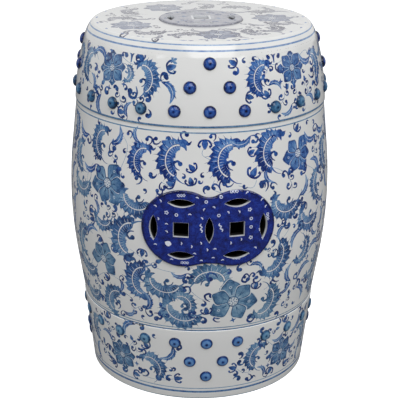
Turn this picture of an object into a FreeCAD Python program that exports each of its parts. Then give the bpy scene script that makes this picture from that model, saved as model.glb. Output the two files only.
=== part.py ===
import FreeCAD
import Part
import math
import os
import Sketcher

from FreeCAD import Placement, Rotation, Vector

# A drum-shaped garden stool of thick glazed stoneware. Thrown rings are stacked
# and joined with slip: foot ring, lower band, barrel and upper band, closed by
# the seat. Pierced double-coin tiles fill a cut-out in the barrel at the front
# and back, a pierced coin plugs the seat, and pressed studs ring both bands.
# Millimetres, +Z up, origin on the floor under the centre, front towards -Y.

doc = FreeCAD.newDocument("garden_stool")
# Each row: name, size in millimetres or degrees, and what it measures.
DIMENSIONS = (
    ("foot_height", 14.0, "height of the foot ring"),
    ("lower_band_height", 86.0, "height of the lower band"),
    ("barrel_height", 261.0, "height of the barrel"),
    ("upper_band_height", 79.0, "height of the upper band"),
    ("seat_rise", 17.0, "height of the seat above the upper band"),
    ("wall", 8.0, "thickness of the thrown wall"),
    ("slip_gap", 0.3, "slip left between two luted pieces"),
    ("belly_radius", 166.7, "barrel at its widest"),
    ("barrel_bottom_draw", 15.1, "how far the barrel draws in to its lower edge"),
    ("barrel_top_draw", 9.7, "how far the barrel draws in to its upper edge"),
    ("lower_flank", 55.0, "height of the barrel's straight flank below the belly"),
    ("upper_flank", 61.0, "height of the barrel's straight flank above the belly"),
    ("lower_band_step", 1.0, "how far the lower band stands proud of the barrel"),
    ("lower_band_draw", 9.6, "how far the lower band draws in to the foot"),
    ("band_edge", 1.0, "rounding of a band where it stands proud"),
    ("foot_draw", 1.6, "how far the foot ring draws in to the floor"),
    ("foot_wall", 13.0, "thickness of the foot ring"),
    ("foot_edge", 2.0, "rounding of the foot at the floor"),
    ("upper_band_step", 1.3, "how far the upper band stands proud of the barrel"),
    ("shoulder_draw", 13.5, "how far the upper band draws in to the seat"),
    ("shoulder_curve", 337.0, "radius of the upper band's bulge"),
    ("shoulder_wall", 9.5, "wall where the upper band meets the seat"),
    ("rim_width", 12.1, "rounded rim of the seat, measured across"),
    ("rim_curve", 44.0, "radius of the seat's rounded rim"),
    ("rim_edge", 5.0, "radius of the last turn into the flat seat"),
    ("seat_thickness", 9.0, "thickness of the seat"),
    ("seat_haunch", 8.0, "slope under the seat's edge"),
    ("seat_coin_radius", 52.0, "raised coin on the seat"),
    ("seat_coin_relief", 2.0, "height of the seat's coin above the seat"),
    ("seat_coin_lap", 3.0, "how far the coin overlaps the seat's hole"),
    ("seat_coin_edge", 1.5, "rounding of the seat coin's edge"),
    ("seat_square", 18.6, "square hole of the seat's coin"),
    ("seat_lens_length", 32.0, "lens hole of the seat's coin, tip to tip"),
    ("seat_lens_width", 10.0, "lens hole of the seat's coin, across"),
    ("seat_lens_reach", 38.0, "centre of the seat's coin to a lens hole"),
    ("panel_rise", 140.0, "centre of the double-coin tile above the lower band"),
    ("coin_radius", 47.8, "one coin of the tile"),
    ("coin_offset", 31.4, "coin's centre from the tile's middle, seen from the front"),
    ("coin_relief", 3.0, "height of the tile above the barrel"),
    ("coin_lap", 3.0, "how far the tile overlaps the barrel's cut-out"),
    ("coin_edge", 1.8, "rounding of the tile's outer edge"),
    ("notch_top", 20.0, "radius that softens the notch above"),
    ("notch_bottom", 60.0, "radius that softens the notch below"),
    ("coin_square", 18.0, "square hole of a coin"),
    ("lens_length", 32.0, "lens hole of a coin, tip to tip"),
    ("lens_width", 10.0, "lens hole of a coin, across"),
    ("lens_reach", 32.8, "centre of a coin's square hole to its lens holes"),
    ("stud_count", 24, "studs in a full ring"),
    ("stud_radius", 7.7, "radius of a stud"),
    ("stud_seat", 0.05, "slip under a stud"),
    ("upper_stud_rise", 4.5, "height of an upper stud"),
    ("upper_ring_gap", 19.0, "upper band's lower edge to its full ring of studs"),
    ("upper_pair_gap", 27.5, "that ring to the pair of studs above it"),
    ("upper_tip_gap", 6.0, "single stud above the pair to the seat"),
    ("upper_pair_angle", 8.6, "angle of each stud of the pair from the middle"),
    ("lower_stud_rise", 3.0, "height of a lower stud"),
    ("lower_ring_gap", 18.0, "lower band's top edge to its full ring of studs"),
    ("lower_pair_gap", 26.5, "that ring to the pair of studs below it"),
    ("lower_tip_gap", 20.0, "single stud below the pair to the foot ring"),
    ("lower_pair_angle", 8.0, "angle of each stud of the pair from the middle"),
)

# Levels above the floor, radii and the angle that follow from those sizes.
FOLLOWING = (
    ("lower_joint", "sizes.foot_height + sizes.lower_band_height", "top of the lower band"),
    ("upper_joint", "lower_joint + sizes.barrel_height", "top of the barrel"),
    ("shoulder_joint", "upper_joint + sizes.upper_band_height", "top of the upper band"),
    ("seat_height", "shoulder_joint + sizes.seat_rise", "flat of the seat"),
    ("lower_flank_height", "lower_joint + sizes.lower_flank", "top of the lower flank"),
    ("upper_flank_height", "upper_joint - sizes.upper_flank", "foot of the upper flank"),
    ("panel_height", "lower_joint + sizes.panel_rise", "centre of the tile"),
    ("barrel_bottom_radius", "sizes.belly_radius - sizes.barrel_bottom_draw", "foot of the barrel"),
    ("barrel_top_radius", "sizes.belly_radius - sizes.barrel_top_draw", "top of the barrel"),
    ("lower_band_radius", "barrel_bottom_radius + sizes.lower_band_step", "top of the lower band"),
    ("foot_top_radius", "lower_band_radius - sizes.lower_band_draw", "top of the foot ring"),
    ("foot_radius", "foot_top_radius - sizes.foot_draw", "foot ring at the floor"),
    ("shoulder_bottom_radius", "barrel_top_radius + sizes.upper_band_step", "foot of the upper band"),
    ("shoulder_top_radius", "shoulder_bottom_radius - sizes.shoulder_draw", "top of the upper band"),
    ("seat_flat_radius", "shoulder_top_radius - sizes.rim_width", "flat part of the seat"),
    ("coin_angle", "asin(sizes.lens_reach / sizes.belly_radius)", "coin's square from the middle"),
    ("upper_ring_height", "upper_joint + sizes.upper_ring_gap", "full ring of upper studs"),
    ("upper_pair_height", "upper_ring_height + sizes.upper_pair_gap", "pair above that ring"),
    ("upper_tip_height", "shoulder_joint - sizes.upper_tip_gap", "single stud above the pair"),
    ("lower_ring_height", "lower_joint - sizes.lower_ring_gap", "full ring of lower studs"),
    ("lower_pair_height", "lower_ring_height - sizes.lower_pair_gap", "pair below that ring"),
    ("lower_tip_height", "sizes.foot_height + sizes.lower_tip_gap", "single stud below the pair"),
)

sheet = doc.addObject("Spreadsheet::Sheet", "sizes")
for row, (alias, size, meaning) in enumerate(DIMENSIONS, start=1):
    sheet.set(f"A{row}", meaning)
    sheet.set(f"B{row}", str(size))
    sheet.setAlias(f"B{row}", alias)
doc.recompute()

places = doc.addObject("Spreadsheet::Sheet", "places")
for row, (alias, formula, meaning) in enumerate(FOLLOWING, start=1):
    places.set(f"A{row}", meaning)
    places.set(f"B{row}", f"={formula}")
    places.setAlias(f"B{row}", alias)
doc.recompute()

# The four faces of the stool, by the turn that brings the front there.
QUARTERS = {"front": 0.0, "right": 90.0, "back": 180.0, "left": 270.0}
NEAR_ZERO = 1e-6
SAME_PLACE = 1e-3
FULL_TURN = 360.0
# Steps that are ample for the two curve searches to settle.
SLOPE_STEPS = 20
HALVING_STEPS = 60
# A rounding takes at most this share of the height of its edge.
ROUNDING_SHARE = 0.9
# Bars that cut through the wall start inside it and end outside it.
BAR_START = "sizes.belly_radius - 3 * sizes.wall"
BAR_LENGTH = "5 * sizes.wall"
# A face looks outwards when it leans less than this from the radial direction.
OUTWARD_LEAN = math.radians(45)
parts = {}


def number(expression):
    """The present value of an expression over the sheet."""
    found = sheet.evalExpression(expression)
    return float(getattr(found, "Value", found))


def origin_plane(body, role):
    """The plane or axis of a body's own origin that has this role."""
    return next(item for item in body.Origin.OriginFeatures if item.Role == role)


def new_body(label):
    body = doc.addObject("PartDesign::Body", label)
    body.Label = label
    return body


def new_sketch(body, label, role="XZ_Plane"):
    """A sketch on a plane of the body. On XZ_Plane its x is the radius, its y the height."""
    sketch = body.newObject("Sketcher::SketchObject", label)
    sketch.AttachmentSupport = [(origin_plane(body, role), "")]
    sketch.MapMode = "FlatFace"
    return sketch


def bind(sketch, constraint, expression):
    """Adds a constraint whose size follows the sheet."""
    index = sketch.addConstraint(constraint)
    sketch.setExpression(f"Constraints[{index}]", expression)


def hold(sketch, kind, geometry, point, expression):
    """Holds a point at a signed distance from the sketch's origin."""
    size = number(expression)
    if abs(size) < NEAR_ZERO:
        axis = -2 if kind == "DistanceX" else -1
        sketch.addConstraint(Sketcher.Constraint("PointOnObject", geometry, point, axis))
    elif size < 0:
        ends = (geometry, point, -1, 1)
        bind(sketch, Sketcher.Constraint(kind, *ends, -size), f"-({expression})")
    else:
        ends = (-1, 1, geometry, point)
        bind(sketch, Sketcher.Constraint(kind, *ends, size), expression)


def hold_point(sketch, geometry, point, across, up):
    hold(sketch, "DistanceX", geometry, point, across)
    hold(sketch, "DistanceY", geometry, point, up)


def join(sketch, first, first_point, second, second_point):
    sketch.addConstraint(Sketcher.Constraint("Coincident", first, first_point, second, second_point))


def draw_line(sketch, start, end, construction=False):
    line = Part.LineSegment(Vector(start[0], start[1], 0), Vector(end[0], end[1], 0))
    return sketch.addGeometry(line, construction)


def draw_arc(sketch, centre, start, end, construction=False):
    """An arc that runs anticlockwise from start to end."""
    radius = math.dist(centre, start)
    first = math.atan2(start[1] - centre[1], start[0] - centre[0])
    last = math.atan2(end[1] - centre[1], end[0] - centre[0])
    if last < first:
        last += 2 * math.pi
    circle = Part.Circle(Vector(centre[0], centre[1], 0), Vector(0, 0, 1), radius)
    return sketch.addGeometry(Part.ArcOfCircle(circle, first, last), construction)


def centre_left_of(start, end, radius):
    """Centre of the arc of this radius that runs anticlockwise from start to end."""
    half = math.dist(start, end) / 2
    away = math.sqrt(radius**2 - half**2)
    along = ((end[0] - start[0]) / (2 * half), (end[1] - start[1]) / (2 * half))
    middle = ((start[0] + end[0]) / 2, (start[1] + end[1]) / 2)
    return (middle[0] - away * along[1], middle[1] + away * along[0])


def draw_polygon(sketch, corners):
    """A closed outline of straight lines, each corner a pair of expressions."""
    points = [(number(across), number(up)) for across, up in corners]
    lines = []
    for index, point in enumerate(points):
        lines.append(draw_line(sketch, point, points[(index + 1) % len(points)]))
    for index, line in enumerate(lines):
        join(sketch, lines[index - 1], 2, line, 1)
        hold_point(sketch, line, 1, *corners[index])


def draw_held_arc(sketch, start, end, curve, construction=False):
    """An arc between two held points, with a radius from the sheet."""
    first = (number(start[0]), number(start[1]))
    last = (number(end[0]), number(end[1]))
    radius = number(curve)
    arc = draw_arc(sketch, centre_left_of(first, last, radius), first, last, construction)
    hold_point(sketch, arc, 1, *start)
    hold_point(sketch, arc, 2, *end)
    bind(sketch, Sketcher.Constraint("Radius", arc, radius), curve)
    return arc


def revolve(body, sketch, label, axis=None):
    """Turns a section all the way round, about +Z unless told otherwise."""
    turned = body.newObject("PartDesign::Revolution", label)
    turned.Profile = sketch
    turned.ReferenceAxis = axis or (sketch, ["V_Axis"])
    turned.Angle = FULL_TURN
    return turned


def round_edges(body, label, radius, wanted):
    """Rounds the edges of the body's tip that the test accepts."""
    doc.recompute()
    tip = body.Tip
    names = [f"Edge{i}" for i, edge in enumerate(tip.Shape.Edges, start=1) if wanted(edge)]
    rounding = body.newObject("PartDesign::Fillet", label)
    rounding.Base = (tip, names)
    rounding.setExpression("Radius", radius)


def is_ring(edge, radius, height):
    """True for a circle about +Z of this radius at this height."""
    if not isinstance(edge.Curve, Part.Circle):
        return False
    centre = edge.Curve.Center
    flat = abs(abs(edge.Curve.Axis.z) - 1) < NEAR_ZERO
    centred = math.hypot(centre.x, centre.y) < SAME_PLACE
    same_size = math.isclose(edge.Curve.Radius, radius, abs_tol=SAME_PLACE)
    return flat and centred and same_size and math.isclose(centre.z, height, abs_tol=SAME_PLACE)


def foot_ring():
    """The thick ring that the stool stands on, left bare underneath."""
    body = new_body("foot_ring")
    section = new_sketch(body, "foot_section")
    draw_polygon(section, (
        ("places.foot_radius - sizes.foot_wall", "0"),
        ("places.foot_radius", "0"),
        ("places.foot_top_radius", "sizes.foot_height"),
        ("places.foot_top_radius - sizes.foot_wall", "sizes.foot_height"),
    ))
    revolve(body, section, "foot_turned")
    radii = (number("places.foot_radius"), number("places.foot_radius - sizes.foot_wall"))
    round_edges(body, "foot_rounding", "sizes.foot_edge",
                lambda edge: any(is_ring(edge, radius, 0) for radius in radii))
    return body


def lower_band():
    """The plain-sided ring above the foot. Its top edge stands proud of the barrel."""
    body = new_body("lower_band")
    section = new_sketch(body, "lower_band_section")
    draw_polygon(section, (
        ("places.foot_top_radius - sizes.wall", "sizes.foot_height"),
        ("places.foot_top_radius", "sizes.foot_height"),
        ("places.lower_band_radius", "places.lower_joint"),
        ("places.barrel_bottom_radius - sizes.wall", "places.lower_joint"),
    ))
    revolve(body, section, "lower_band_turned")
    radius = number("places.lower_band_radius")
    height = number("places.lower_joint")
    round_edges(body, "lower_band_rounding",
                "min(sizes.band_edge; places.lower_band_radius - places.barrel_bottom_radius)",
                lambda edge: is_ring(edge, radius, height))
    return body


def curve_of_side(rise, straight, drop):
    """Radius of an arc that starts upright, climbs by rise and goes on as a straight.

    Arc and straight together draw in by drop.
    """
    slope = drop / (rise / 2 + straight)
    for _ in range(SLOPE_STEPS):
        excess = rise * math.tan(slope / 2) + straight * math.tan(slope) - drop
        slope -= excess / (rise / 2 + straight)
    return rise / math.sin(slope)


def belly_arc():
    """Radius and centre height of the one arc that meets both flanks of the barrel."""
    low, high = number("places.lower_flank_height"), number("places.upper_flank_height")
    below, above = low - number("places.lower_joint"), number("places.upper_joint") - high
    widest = number("sizes.belly_radius")
    drop_below = widest - number("places.barrel_bottom_radius")
    drop_above = widest - number("places.barrel_top_radius")
    least, most = low, high
    for _ in range(HALVING_STEPS):
        middle = (least + most) / 2
        lower_curve = curve_of_side(middle - low, below, drop_below)
        upper_curve = curve_of_side(high - middle, above, drop_above)
        if lower_curve < upper_curve:
            least = middle
        else:
            most = middle
    return lower_curve, middle


def draw_side(sketch, outset):
    """The barrel's side moved out by an outset: a flank, the belly's arc, another flank."""
    curve, middle = belly_arc()
    widest = number(f"sizes.belly_radius + ({outset})")
    centre = (widest - curve, middle)
    turns = []
    for name in ("lower", "upper"):
        height = number(f"places.{name}_flank_height")
        turns.append((centre[0] + math.sqrt(curve**2 - (height - middle) ** 2), height))
    ends = [f"places.barrel_bottom_radius + ({outset})", f"places.barrel_top_radius + ({outset})"]
    below = draw_line(sketch, (number(ends[0]), number("places.lower_joint")), turns[0])
    belly = draw_arc(sketch, centre, *turns)
    above = draw_line(sketch, turns[1], (number(ends[1]), number("places.upper_joint")))
    upright = draw_line(sketch, (widest, turns[0][1]), (widest, turns[1][1]), True)
    sketch.addConstraint(Sketcher.Constraint("Vertical", upright))
    sketch.addConstraint(Sketcher.Constraint("Tangent", upright, belly))
    hold(sketch, "DistanceX", upright, 1, f"sizes.belly_radius + ({outset})")
    hold(sketch, "DistanceY", upright, 1, "places.lower_flank_height")
    hold(sketch, "DistanceY", upright, 2, "places.upper_flank_height")
    hold(sketch, "DistanceY", belly, 1, "places.lower_flank_height")
    hold(sketch, "DistanceY", belly, 2, "places.upper_flank_height")
    hold_point(sketch, below, 1, ends[0], "places.lower_joint")
    hold_point(sketch, above, 2, ends[1], "places.upper_joint")
    sketch.addConstraint(Sketcher.Constraint("Tangent", below, 2, belly, 1))
    sketch.addConstraint(Sketcher.Constraint("Tangent", belly, 2, above, 1))
    return below, above


def wall_ring(label, inner, outer):
    """A ring as high as the barrel, between two outsets from the barrel's outer face."""
    body = new_body(label)
    section = new_sketch(body, f"{label}_section")
    inner_lines = draw_side(section, inner)
    outer_lines = draw_side(section, outer)
    for index, point in ((0, 1), (1, 2)):
        ends = [section.getPoint(lines[index], point) for lines in (inner_lines, outer_lines)]
        rim = draw_line(section, (ends[0].x, ends[0].y), (ends[1].x, ends[1].y))
        join(section, rim, 1, inner_lines[index], point)
        join(section, rim, 2, outer_lines[index], point)
    revolve(body, section, f"{label}_turned")
    return body


def upper_band():
    """The bulging ring with the upper studs. Its lower edge stands proud of the barrel."""
    body = new_body("upper_band")
    section = new_sketch(body, "upper_band_section")
    outer = draw_held_arc(
        section, ("places.shoulder_bottom_radius", "places.upper_joint"),
        ("places.shoulder_top_radius", "places.shoulder_joint"), "sizes.shoulder_curve")
    inner = draw_held_arc(
        section, ("places.barrel_top_radius - sizes.wall", "places.upper_joint"),
        ("places.shoulder_top_radius - sizes.shoulder_wall", "places.shoulder_joint"),
        "sizes.shoulder_curve - sizes.wall")
    for point in (1, 2):
        ends = [section.getPoint(arc, point) for arc in (outer, inner)]
        rim = draw_line(section, (ends[0].x, ends[0].y), (ends[1].x, ends[1].y))
        join(section, rim, 1, outer, point)
        join(section, rim, 2, inner, point)
    revolve(body, section, "upper_band_turned")
    radius = number("places.shoulder_bottom_radius")
    height = number("places.upper_joint")
    round_edges(body, "upper_band_rounding",
                "min(sizes.band_edge; places.shoulder_bottom_radius - places.barrel_top_radius)",
                lambda edge: is_ring(edge, radius, height))
    return body


def rim_meeting():
    """Where the rim's two arcs meet, and their centres."""
    rim, edge = number("sizes.rim_curve"), number("sizes.rim_edge")
    start = (number("places.shoulder_top_radius"), number("places.shoulder_joint"))
    edge_centre = (number("places.seat_flat_radius"), number("places.seat_height - sizes.rim_edge"))
    apart = math.dist(start, edge_centre)
    inner = rim - edge
    along = (rim**2 - inner**2 + apart**2) / (2 * apart)
    away = math.sqrt(rim**2 - along**2)
    unit = ((edge_centre[0] - start[0]) / apart, (edge_centre[1] - start[1]) / apart)
    base = (start[0] + along * unit[0], start[1] + along * unit[1])
    centre = (base[0] - away * unit[1], base[1] + away * unit[0])
    if centre[1] > start[1]:
        centre = (base[0] + away * unit[1], base[1] - away * unit[0])
    reach = rim / inner
    meeting = (centre[0] + (edge_centre[0] - centre[0]) * reach,
               centre[1] + (edge_centre[1] - centre[1]) * reach)
    return meeting, centre, edge_centre


def seat():
    """The closing disc with a rounded, downturned rim and a round hole for the coin."""
    body = new_body("seat")
    section = new_sketch(body, "seat_section")
    meeting, rim_centre, edge_centre = rim_meeting()
    start = (number("places.shoulder_top_radius"), number("places.shoulder_joint"))
    flat = (number("places.seat_flat_radius"), number("places.seat_height"))
    rim = draw_arc(section, rim_centre, start, meeting)
    edge = draw_arc(section, edge_centre, meeting, flat)
    hold_point(section, rim, 1, "places.shoulder_top_radius", "places.shoulder_joint")
    bind(section, Sketcher.Constraint("Radius", rim, number("sizes.rim_curve")), "sizes.rim_curve")
    section.addConstraint(Sketcher.Constraint("Tangent", rim, 2, edge, 1))
    hold_point(section, edge, 2, "places.seat_flat_radius", "places.seat_height")
    hold_point(section, edge, 3, "places.seat_flat_radius", "places.seat_height - sizes.rim_edge")
    hole = "sizes.seat_coin_radius - sizes.seat_coin_lap + sizes.slip_gap"
    underside = "places.seat_height - sizes.seat_thickness"
    corners = (
        ("places.seat_flat_radius", "places.seat_height"),
        (hole, "places.seat_height"),
        (hole, underside),
        ("places.seat_flat_radius - sizes.seat_haunch", underside),
        ("places.shoulder_top_radius - sizes.shoulder_wall", "places.shoulder_joint"),
        ("places.shoulder_top_radius", "places.shoulder_joint"),
    )
    points = [(number(across), number(up)) for across, up in corners]
    before = edge
    for index in range(len(points) - 1):
        line = draw_line(section, points[index], points[index + 1])
        join(section, before, 2, line, 1)
        if index < len(points) - 2:
            hold_point(section, line, 2, *corners[index + 1])
        before = line
    join(section, before, 2, rim, 1)
    revolve(body, section, "seat_turned")
    return body


def draw_lens(sketch, centre, length, width, upright):
    """A pointed oval of two arcs, its tips along x or, if upright, along y."""
    half_length = f"({length}) / 2"
    curve = f"(({length}) ^ 2 + ({width}) ^ 2) / (4 * ({width}))"
    across, up = centre
    if upright:
        first = (across, f"{up} - {half_length}")
        last = (across, f"{up} + {half_length}")
    else:
        first = (f"{across} + {half_length}", up)
        last = (f"{across} - {half_length}", up)
    ends = [(number(point[0]), number(point[1])) for point in (first, last)]
    radius = number(curve)
    one = draw_arc(sketch, centre_left_of(ends[0], ends[1], radius), ends[0], ends[1])
    other = draw_arc(sketch, centre_left_of(ends[1], ends[0], radius), ends[1], ends[0])
    hold_point(sketch, one, 1, *first)
    hold_point(sketch, one, 2, *last)
    join(sketch, one, 1, other, 2)
    join(sketch, one, 2, other, 1)
    bind(sketch, Sketcher.Constraint("Radius", one, radius), curve)
    bind(sketch, Sketcher.Constraint("Radius", other, radius), curve)


def draw_square(sketch, centre, side):
    across, up = centre
    half = f"({side}) / 2"
    draw_polygon(sketch, (
        (f"{across} - {half}", f"{up} - {half}"),
        (f"{across} + {half}", f"{up} - {half}"),
        (f"{across} + {half}", f"{up} + {half}"),
        (f"{across} - {half}", f"{up} + {half}"),
    ))


def seat_coin():
    """The pierced coin: a plug in the seat's hole under a pad that laps over the seat."""
    body = new_body("seat_coin")
    section = new_sketch(body, "seat_coin_section")
    plug = "sizes.seat_coin_radius - sizes.seat_coin_lap"
    underside = "places.seat_height - sizes.seat_thickness"
    top = "places.seat_height + sizes.seat_coin_relief"
    draw_polygon(section, (
        ("0", underside),
        (plug, underside),
        (plug, "places.seat_height"),
        ("sizes.seat_coin_radius", "places.seat_height"),
        ("sizes.seat_coin_radius", top),
        ("0", top),
    ))
    revolve(body, section, "seat_coin_turned")
    radius, height = number("sizes.seat_coin_radius"), number(top)
    round_edges(body, "seat_coin_rounding",
                f"min(sizes.seat_coin_edge; {ROUNDING_SHARE} * sizes.seat_coin_relief)",
                lambda edge: is_ring(edge, radius, height))
    doc.recompute()
    whole = body.Shape.Volume
    holes = new_sketch(body, "seat_coin_holes", "XY_Plane")
    draw_square(holes, ("0", "0"), "sizes.seat_square")
    lens = ("sizes.seat_lens_length", "sizes.seat_lens_width")
    draw_lens(holes, ("0", "sizes.seat_lens_reach"), *lens, False)
    draw_lens(holes, ("0", "-sizes.seat_lens_reach"), *lens, False)
    draw_lens(holes, ("sizes.seat_lens_reach", "0"), *lens, True)
    draw_lens(holes, ("-sizes.seat_lens_reach", "0"), *lens, True)
    cut = body.newObject("PartDesign::Pocket", "seat_coin_piercing")
    cut.Profile = holes
    cut.Type = "ThroughAll"
    cut.Reversed = True
    doc.recompute()
    if body.Shape.Volume >= whole:
        raise RuntimeError("the seat coin was not pierced")
    return body


def set_inside_wall(sketch):
    """Moves a sketch on XZ_Plane outwards until it lies just inside the barrel's wall."""
    sketch.AttachmentOffset = Placement(Vector(0, 0, number(BAR_START)), Rotation())
    sketch.setExpression("AttachmentOffset.Base.z", BAR_START)


def pad_through_wall(body, sketch, label):
    """Pushes an outline through the barrel's wall as a bar."""
    pad = body.newObject("PartDesign::Pad", f"{label}_pad")
    pad.Profile = sketch
    pad.setExpression("Length", BAR_LENGTH)


def draw_double_coin(sketch, inset):
    """Two coins side by side, joined by softened notches, all drawn in by an inset."""
    radius = number(f"sizes.coin_radius - ({inset})")
    offset, middle = number("sizes.coin_offset"), number("places.panel_height")
    notches = {}
    meetings = {}
    for place, way in (("top", 1), ("bottom", -1)):
        curve = f"sizes.notch_{place} + ({inset})"
        fill = number(curve)
        rise = math.sqrt((radius + fill) ** 2 - offset**2)
        centre = (0.0, middle + way * rise)
        share = radius / (radius + fill)
        across, up = offset * (1 - share), middle + way * rise * share
        meetings[way] = {"right": (across, up), "left": (-across, up)}
        notches[way] = draw_arc(sketch, centre, (-way * across, up), (way * across, up))
        bind(sketch, Sketcher.Constraint("Radius", notches[way], fill), curve)
    right = draw_arc(sketch, (offset, middle), meetings[-1]["right"], meetings[1]["right"])
    left = draw_arc(sketch, (-offset, middle), meetings[1]["left"], meetings[-1]["left"])
    for arc, side in ((right, ""), (left, "-")):
        hold_point(sketch, arc, 3, f"{side}sizes.coin_offset", "places.panel_height")
        bind(sketch, Sketcher.Constraint("Radius", arc, radius), f"sizes.coin_radius - ({inset})")
    sketch.addConstraint(Sketcher.Constraint("Tangent", right, 2, notches[1], 2))
    sketch.addConstraint(Sketcher.Constraint("Tangent", notches[1], 1, left, 1))
    sketch.addConstraint(Sketcher.Constraint("Tangent", left, 2, notches[-1], 2))
    sketch.addConstraint(Sketcher.Constraint("Tangent", notches[-1], 1, right, 1))


def double_coin(label, inset, inner, outer):
    """The double coin cut from a ring between two outsets from the barrel's outer face."""
    outline = new_body(f"{label}_outline")
    sketch = new_sketch(outline, f"{label}_sketch")
    set_inside_wall(sketch)
    draw_double_coin(sketch, inset)
    pad_through_wall(outline, sketch, label)
    piece = doc.addObject("Part::Common", label)
    piece.Base = wall_ring(f"{label}_ring", inner, outer)
    piece.Tool = outline
    return piece


def piercing(label, draw_holes, angle=None):
    """Bars that cut holes straight through the wall, at an angle from the front."""
    body = new_body(label)
    sketch = new_sketch(body, f"{label}_holes")
    set_inside_wall(sketch)
    draw_holes(sketch)
    pad_through_wall(body, sketch, label)
    if angle:
        body.Placement = Placement(Vector(), Rotation(Vector(0, 0, 1), number(angle)))
        body.setExpression("Placement.Rotation.Angle", angle)
    return body


def draw_coin_holes(sketch):
    """The square and the lens holes above and below it."""
    height = "places.panel_height"
    draw_square(sketch, ("0", height), "sizes.coin_square")
    for side in ("+", "-"):
        centre = ("0", f"{height} {side} sizes.lens_reach")
        draw_lens(sketch, centre, "sizes.lens_length", "sizes.lens_width", False)


def draw_upright_hole(sketch):
    """One upright lens hole."""
    draw_lens(sketch, ("0", "places.panel_height"), "sizes.lens_length", "sizes.lens_width", True)


def coin_holes():
    """All nine holes of a tile, each cut square to the wall.

    Each coin has a square and three lenses of its own, and the two share a fourth lens.
    """
    right_side = doc.addObject("Part::MultiFuse", "right_holes")
    right_side.Shapes = [
        piercing("right_coin_holes", draw_coin_holes, "places.coin_angle"),
        piercing("right_outer_hole", draw_upright_hole, "2 * places.coin_angle"),
    ]
    left_side = doc.addObject("Part::Mirroring", "left_holes")
    left_side.Source = right_side
    left_side.Normal = Vector(1, 0, 0)
    holes = doc.addObject("Part::MultiFuse", "tile_holes")
    holes.Shapes = [right_side, left_side, piercing("shared_hole", draw_upright_hole)]
    return holes


def faces_out(face):
    """True for a face that looks away from the stool's axis."""
    low_u, high_u, low_v, high_v = face.ParameterRange
    middle = ((low_u + high_u) / 2, (low_v + high_v) / 2)
    point = face.valueAt(*middle)
    outward = Vector(point.x, point.y, 0).normalize()
    return face.normalAt(*middle).dot(outward) > math.cos(OUTWARD_LEAN)


def outer_rim(shape):
    """Names of the edges that bound the outward faces of a shape."""
    codes = [edge.hashCode() for face in shape.Faces if faces_out(face) for edge in face.Edges]
    return [f"Edge{i}" for i, edge in enumerate(shape.Edges, start=1) if codes.count(edge.hashCode()) == 1]


def coin_tiles():
    """The two pierced double-coin tiles.

    Each is a plug in the barrel's cut-out under a raised pad that laps over the barrel.
    """
    pad = double_coin("tile_pad", "0", "sizes.slip_gap", "sizes.coin_relief")
    plug = double_coin("tile_plug", "sizes.coin_lap", "-sizes.wall", "sizes.coin_relief / 2")
    doc.recompute()
    rounded = new_body("tile_pad_rounded")
    rounded.BaseFeature = pad
    doc.recompute()
    rounding = rounded.newObject("PartDesign::Fillet", "tile_rounding")
    rounding.Base = (rounded.Group[0], outer_rim(pad.Shape))
    rounding.setExpression(
        "Radius", f"min(sizes.coin_edge; {ROUNDING_SHARE} * (sizes.coin_relief - sizes.slip_gap))")
    blank = doc.addObject("Part::MultiFuse", "tile_blank")
    blank.Shapes = [rounded, plug]
    holes = coin_holes()
    tiles = {}
    for place in ("front", "back"):
        tile = doc.addObject("Part::Cut", f"{place}_coin_tile")
        tile.Base = blank
        tile.Tool = holes
        tile.Placement = Placement(Vector(), Rotation(Vector(0, 0, 1), QUARTERS[place]))
        tiles[tile.Label] = tile
    return tiles


def barrel():
    """The drum with a double-coin cut-out at the front and back, cut clear of both its faces."""
    front = double_coin("cut_out", "sizes.coin_lap - sizes.slip_gap",
                        "-1.5 * sizes.wall", "0.5 * sizes.wall")
    back = doc.addObject("Part::Mirroring", "cut_out_back")
    back.Source = front
    back.Normal = Vector(0, 1, 0)
    cut_outs = doc.addObject("Part::MultiFuse", "cut_outs")
    cut_outs.Shapes = [front, back]
    wall = doc.addObject("Part::Cut", "barrel")
    wall.Base = wall_ring("barrel_ring", "-sizes.wall", "0")
    wall.Tool = cut_outs
    return wall


def draw_stud(sketch, surface, height, rise):
    """Half of a domed stud. surface draws the band's side and an axis square to it."""
    axis = surface(sketch, height)
    foot = sketch.getPoint(axis, 2)
    inner = sketch.getPoint(axis, 1)
    length = (foot - inner).Length
    out = ((foot.x - inner.x) / length, (foot.y - inner.y) / length)
    radius, tall = number("sizes.stud_radius"), number(rise)
    start = (foot.x, foot.y)
    rim = (foot.x + radius * out[1], foot.y - radius * out[0])
    top = (foot.x + tall * out[0], foot.y + tall * out[1])
    curve = (radius**2 + tall**2) / (2 * tall)
    centre = (top[0] - curve * out[0], top[1] - curve * out[1])
    base = draw_line(sketch, start, rim)
    dome = draw_arc(sketch, centre, rim, top)
    stem = draw_line(sketch, top, start)
    join(sketch, axis, 2, base, 1)
    join(sketch, base, 2, dome, 1)
    join(sketch, dome, 2, stem, 1)
    join(sketch, stem, 2, base, 1)
    sketch.addConstraint(Sketcher.Constraint("Perpendicular", base, axis))
    sketch.addConstraint(Sketcher.Constraint("PointOnObject", dome, 2, axis))
    sketch.addConstraint(Sketcher.Constraint("PointOnObject", dome, 3, axis))
    bind(sketch, Sketcher.Constraint("Distance", base, radius), "sizes.stud_radius")
    bind(sketch, Sketcher.Constraint("Distance", stem, tall), rise)


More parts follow.
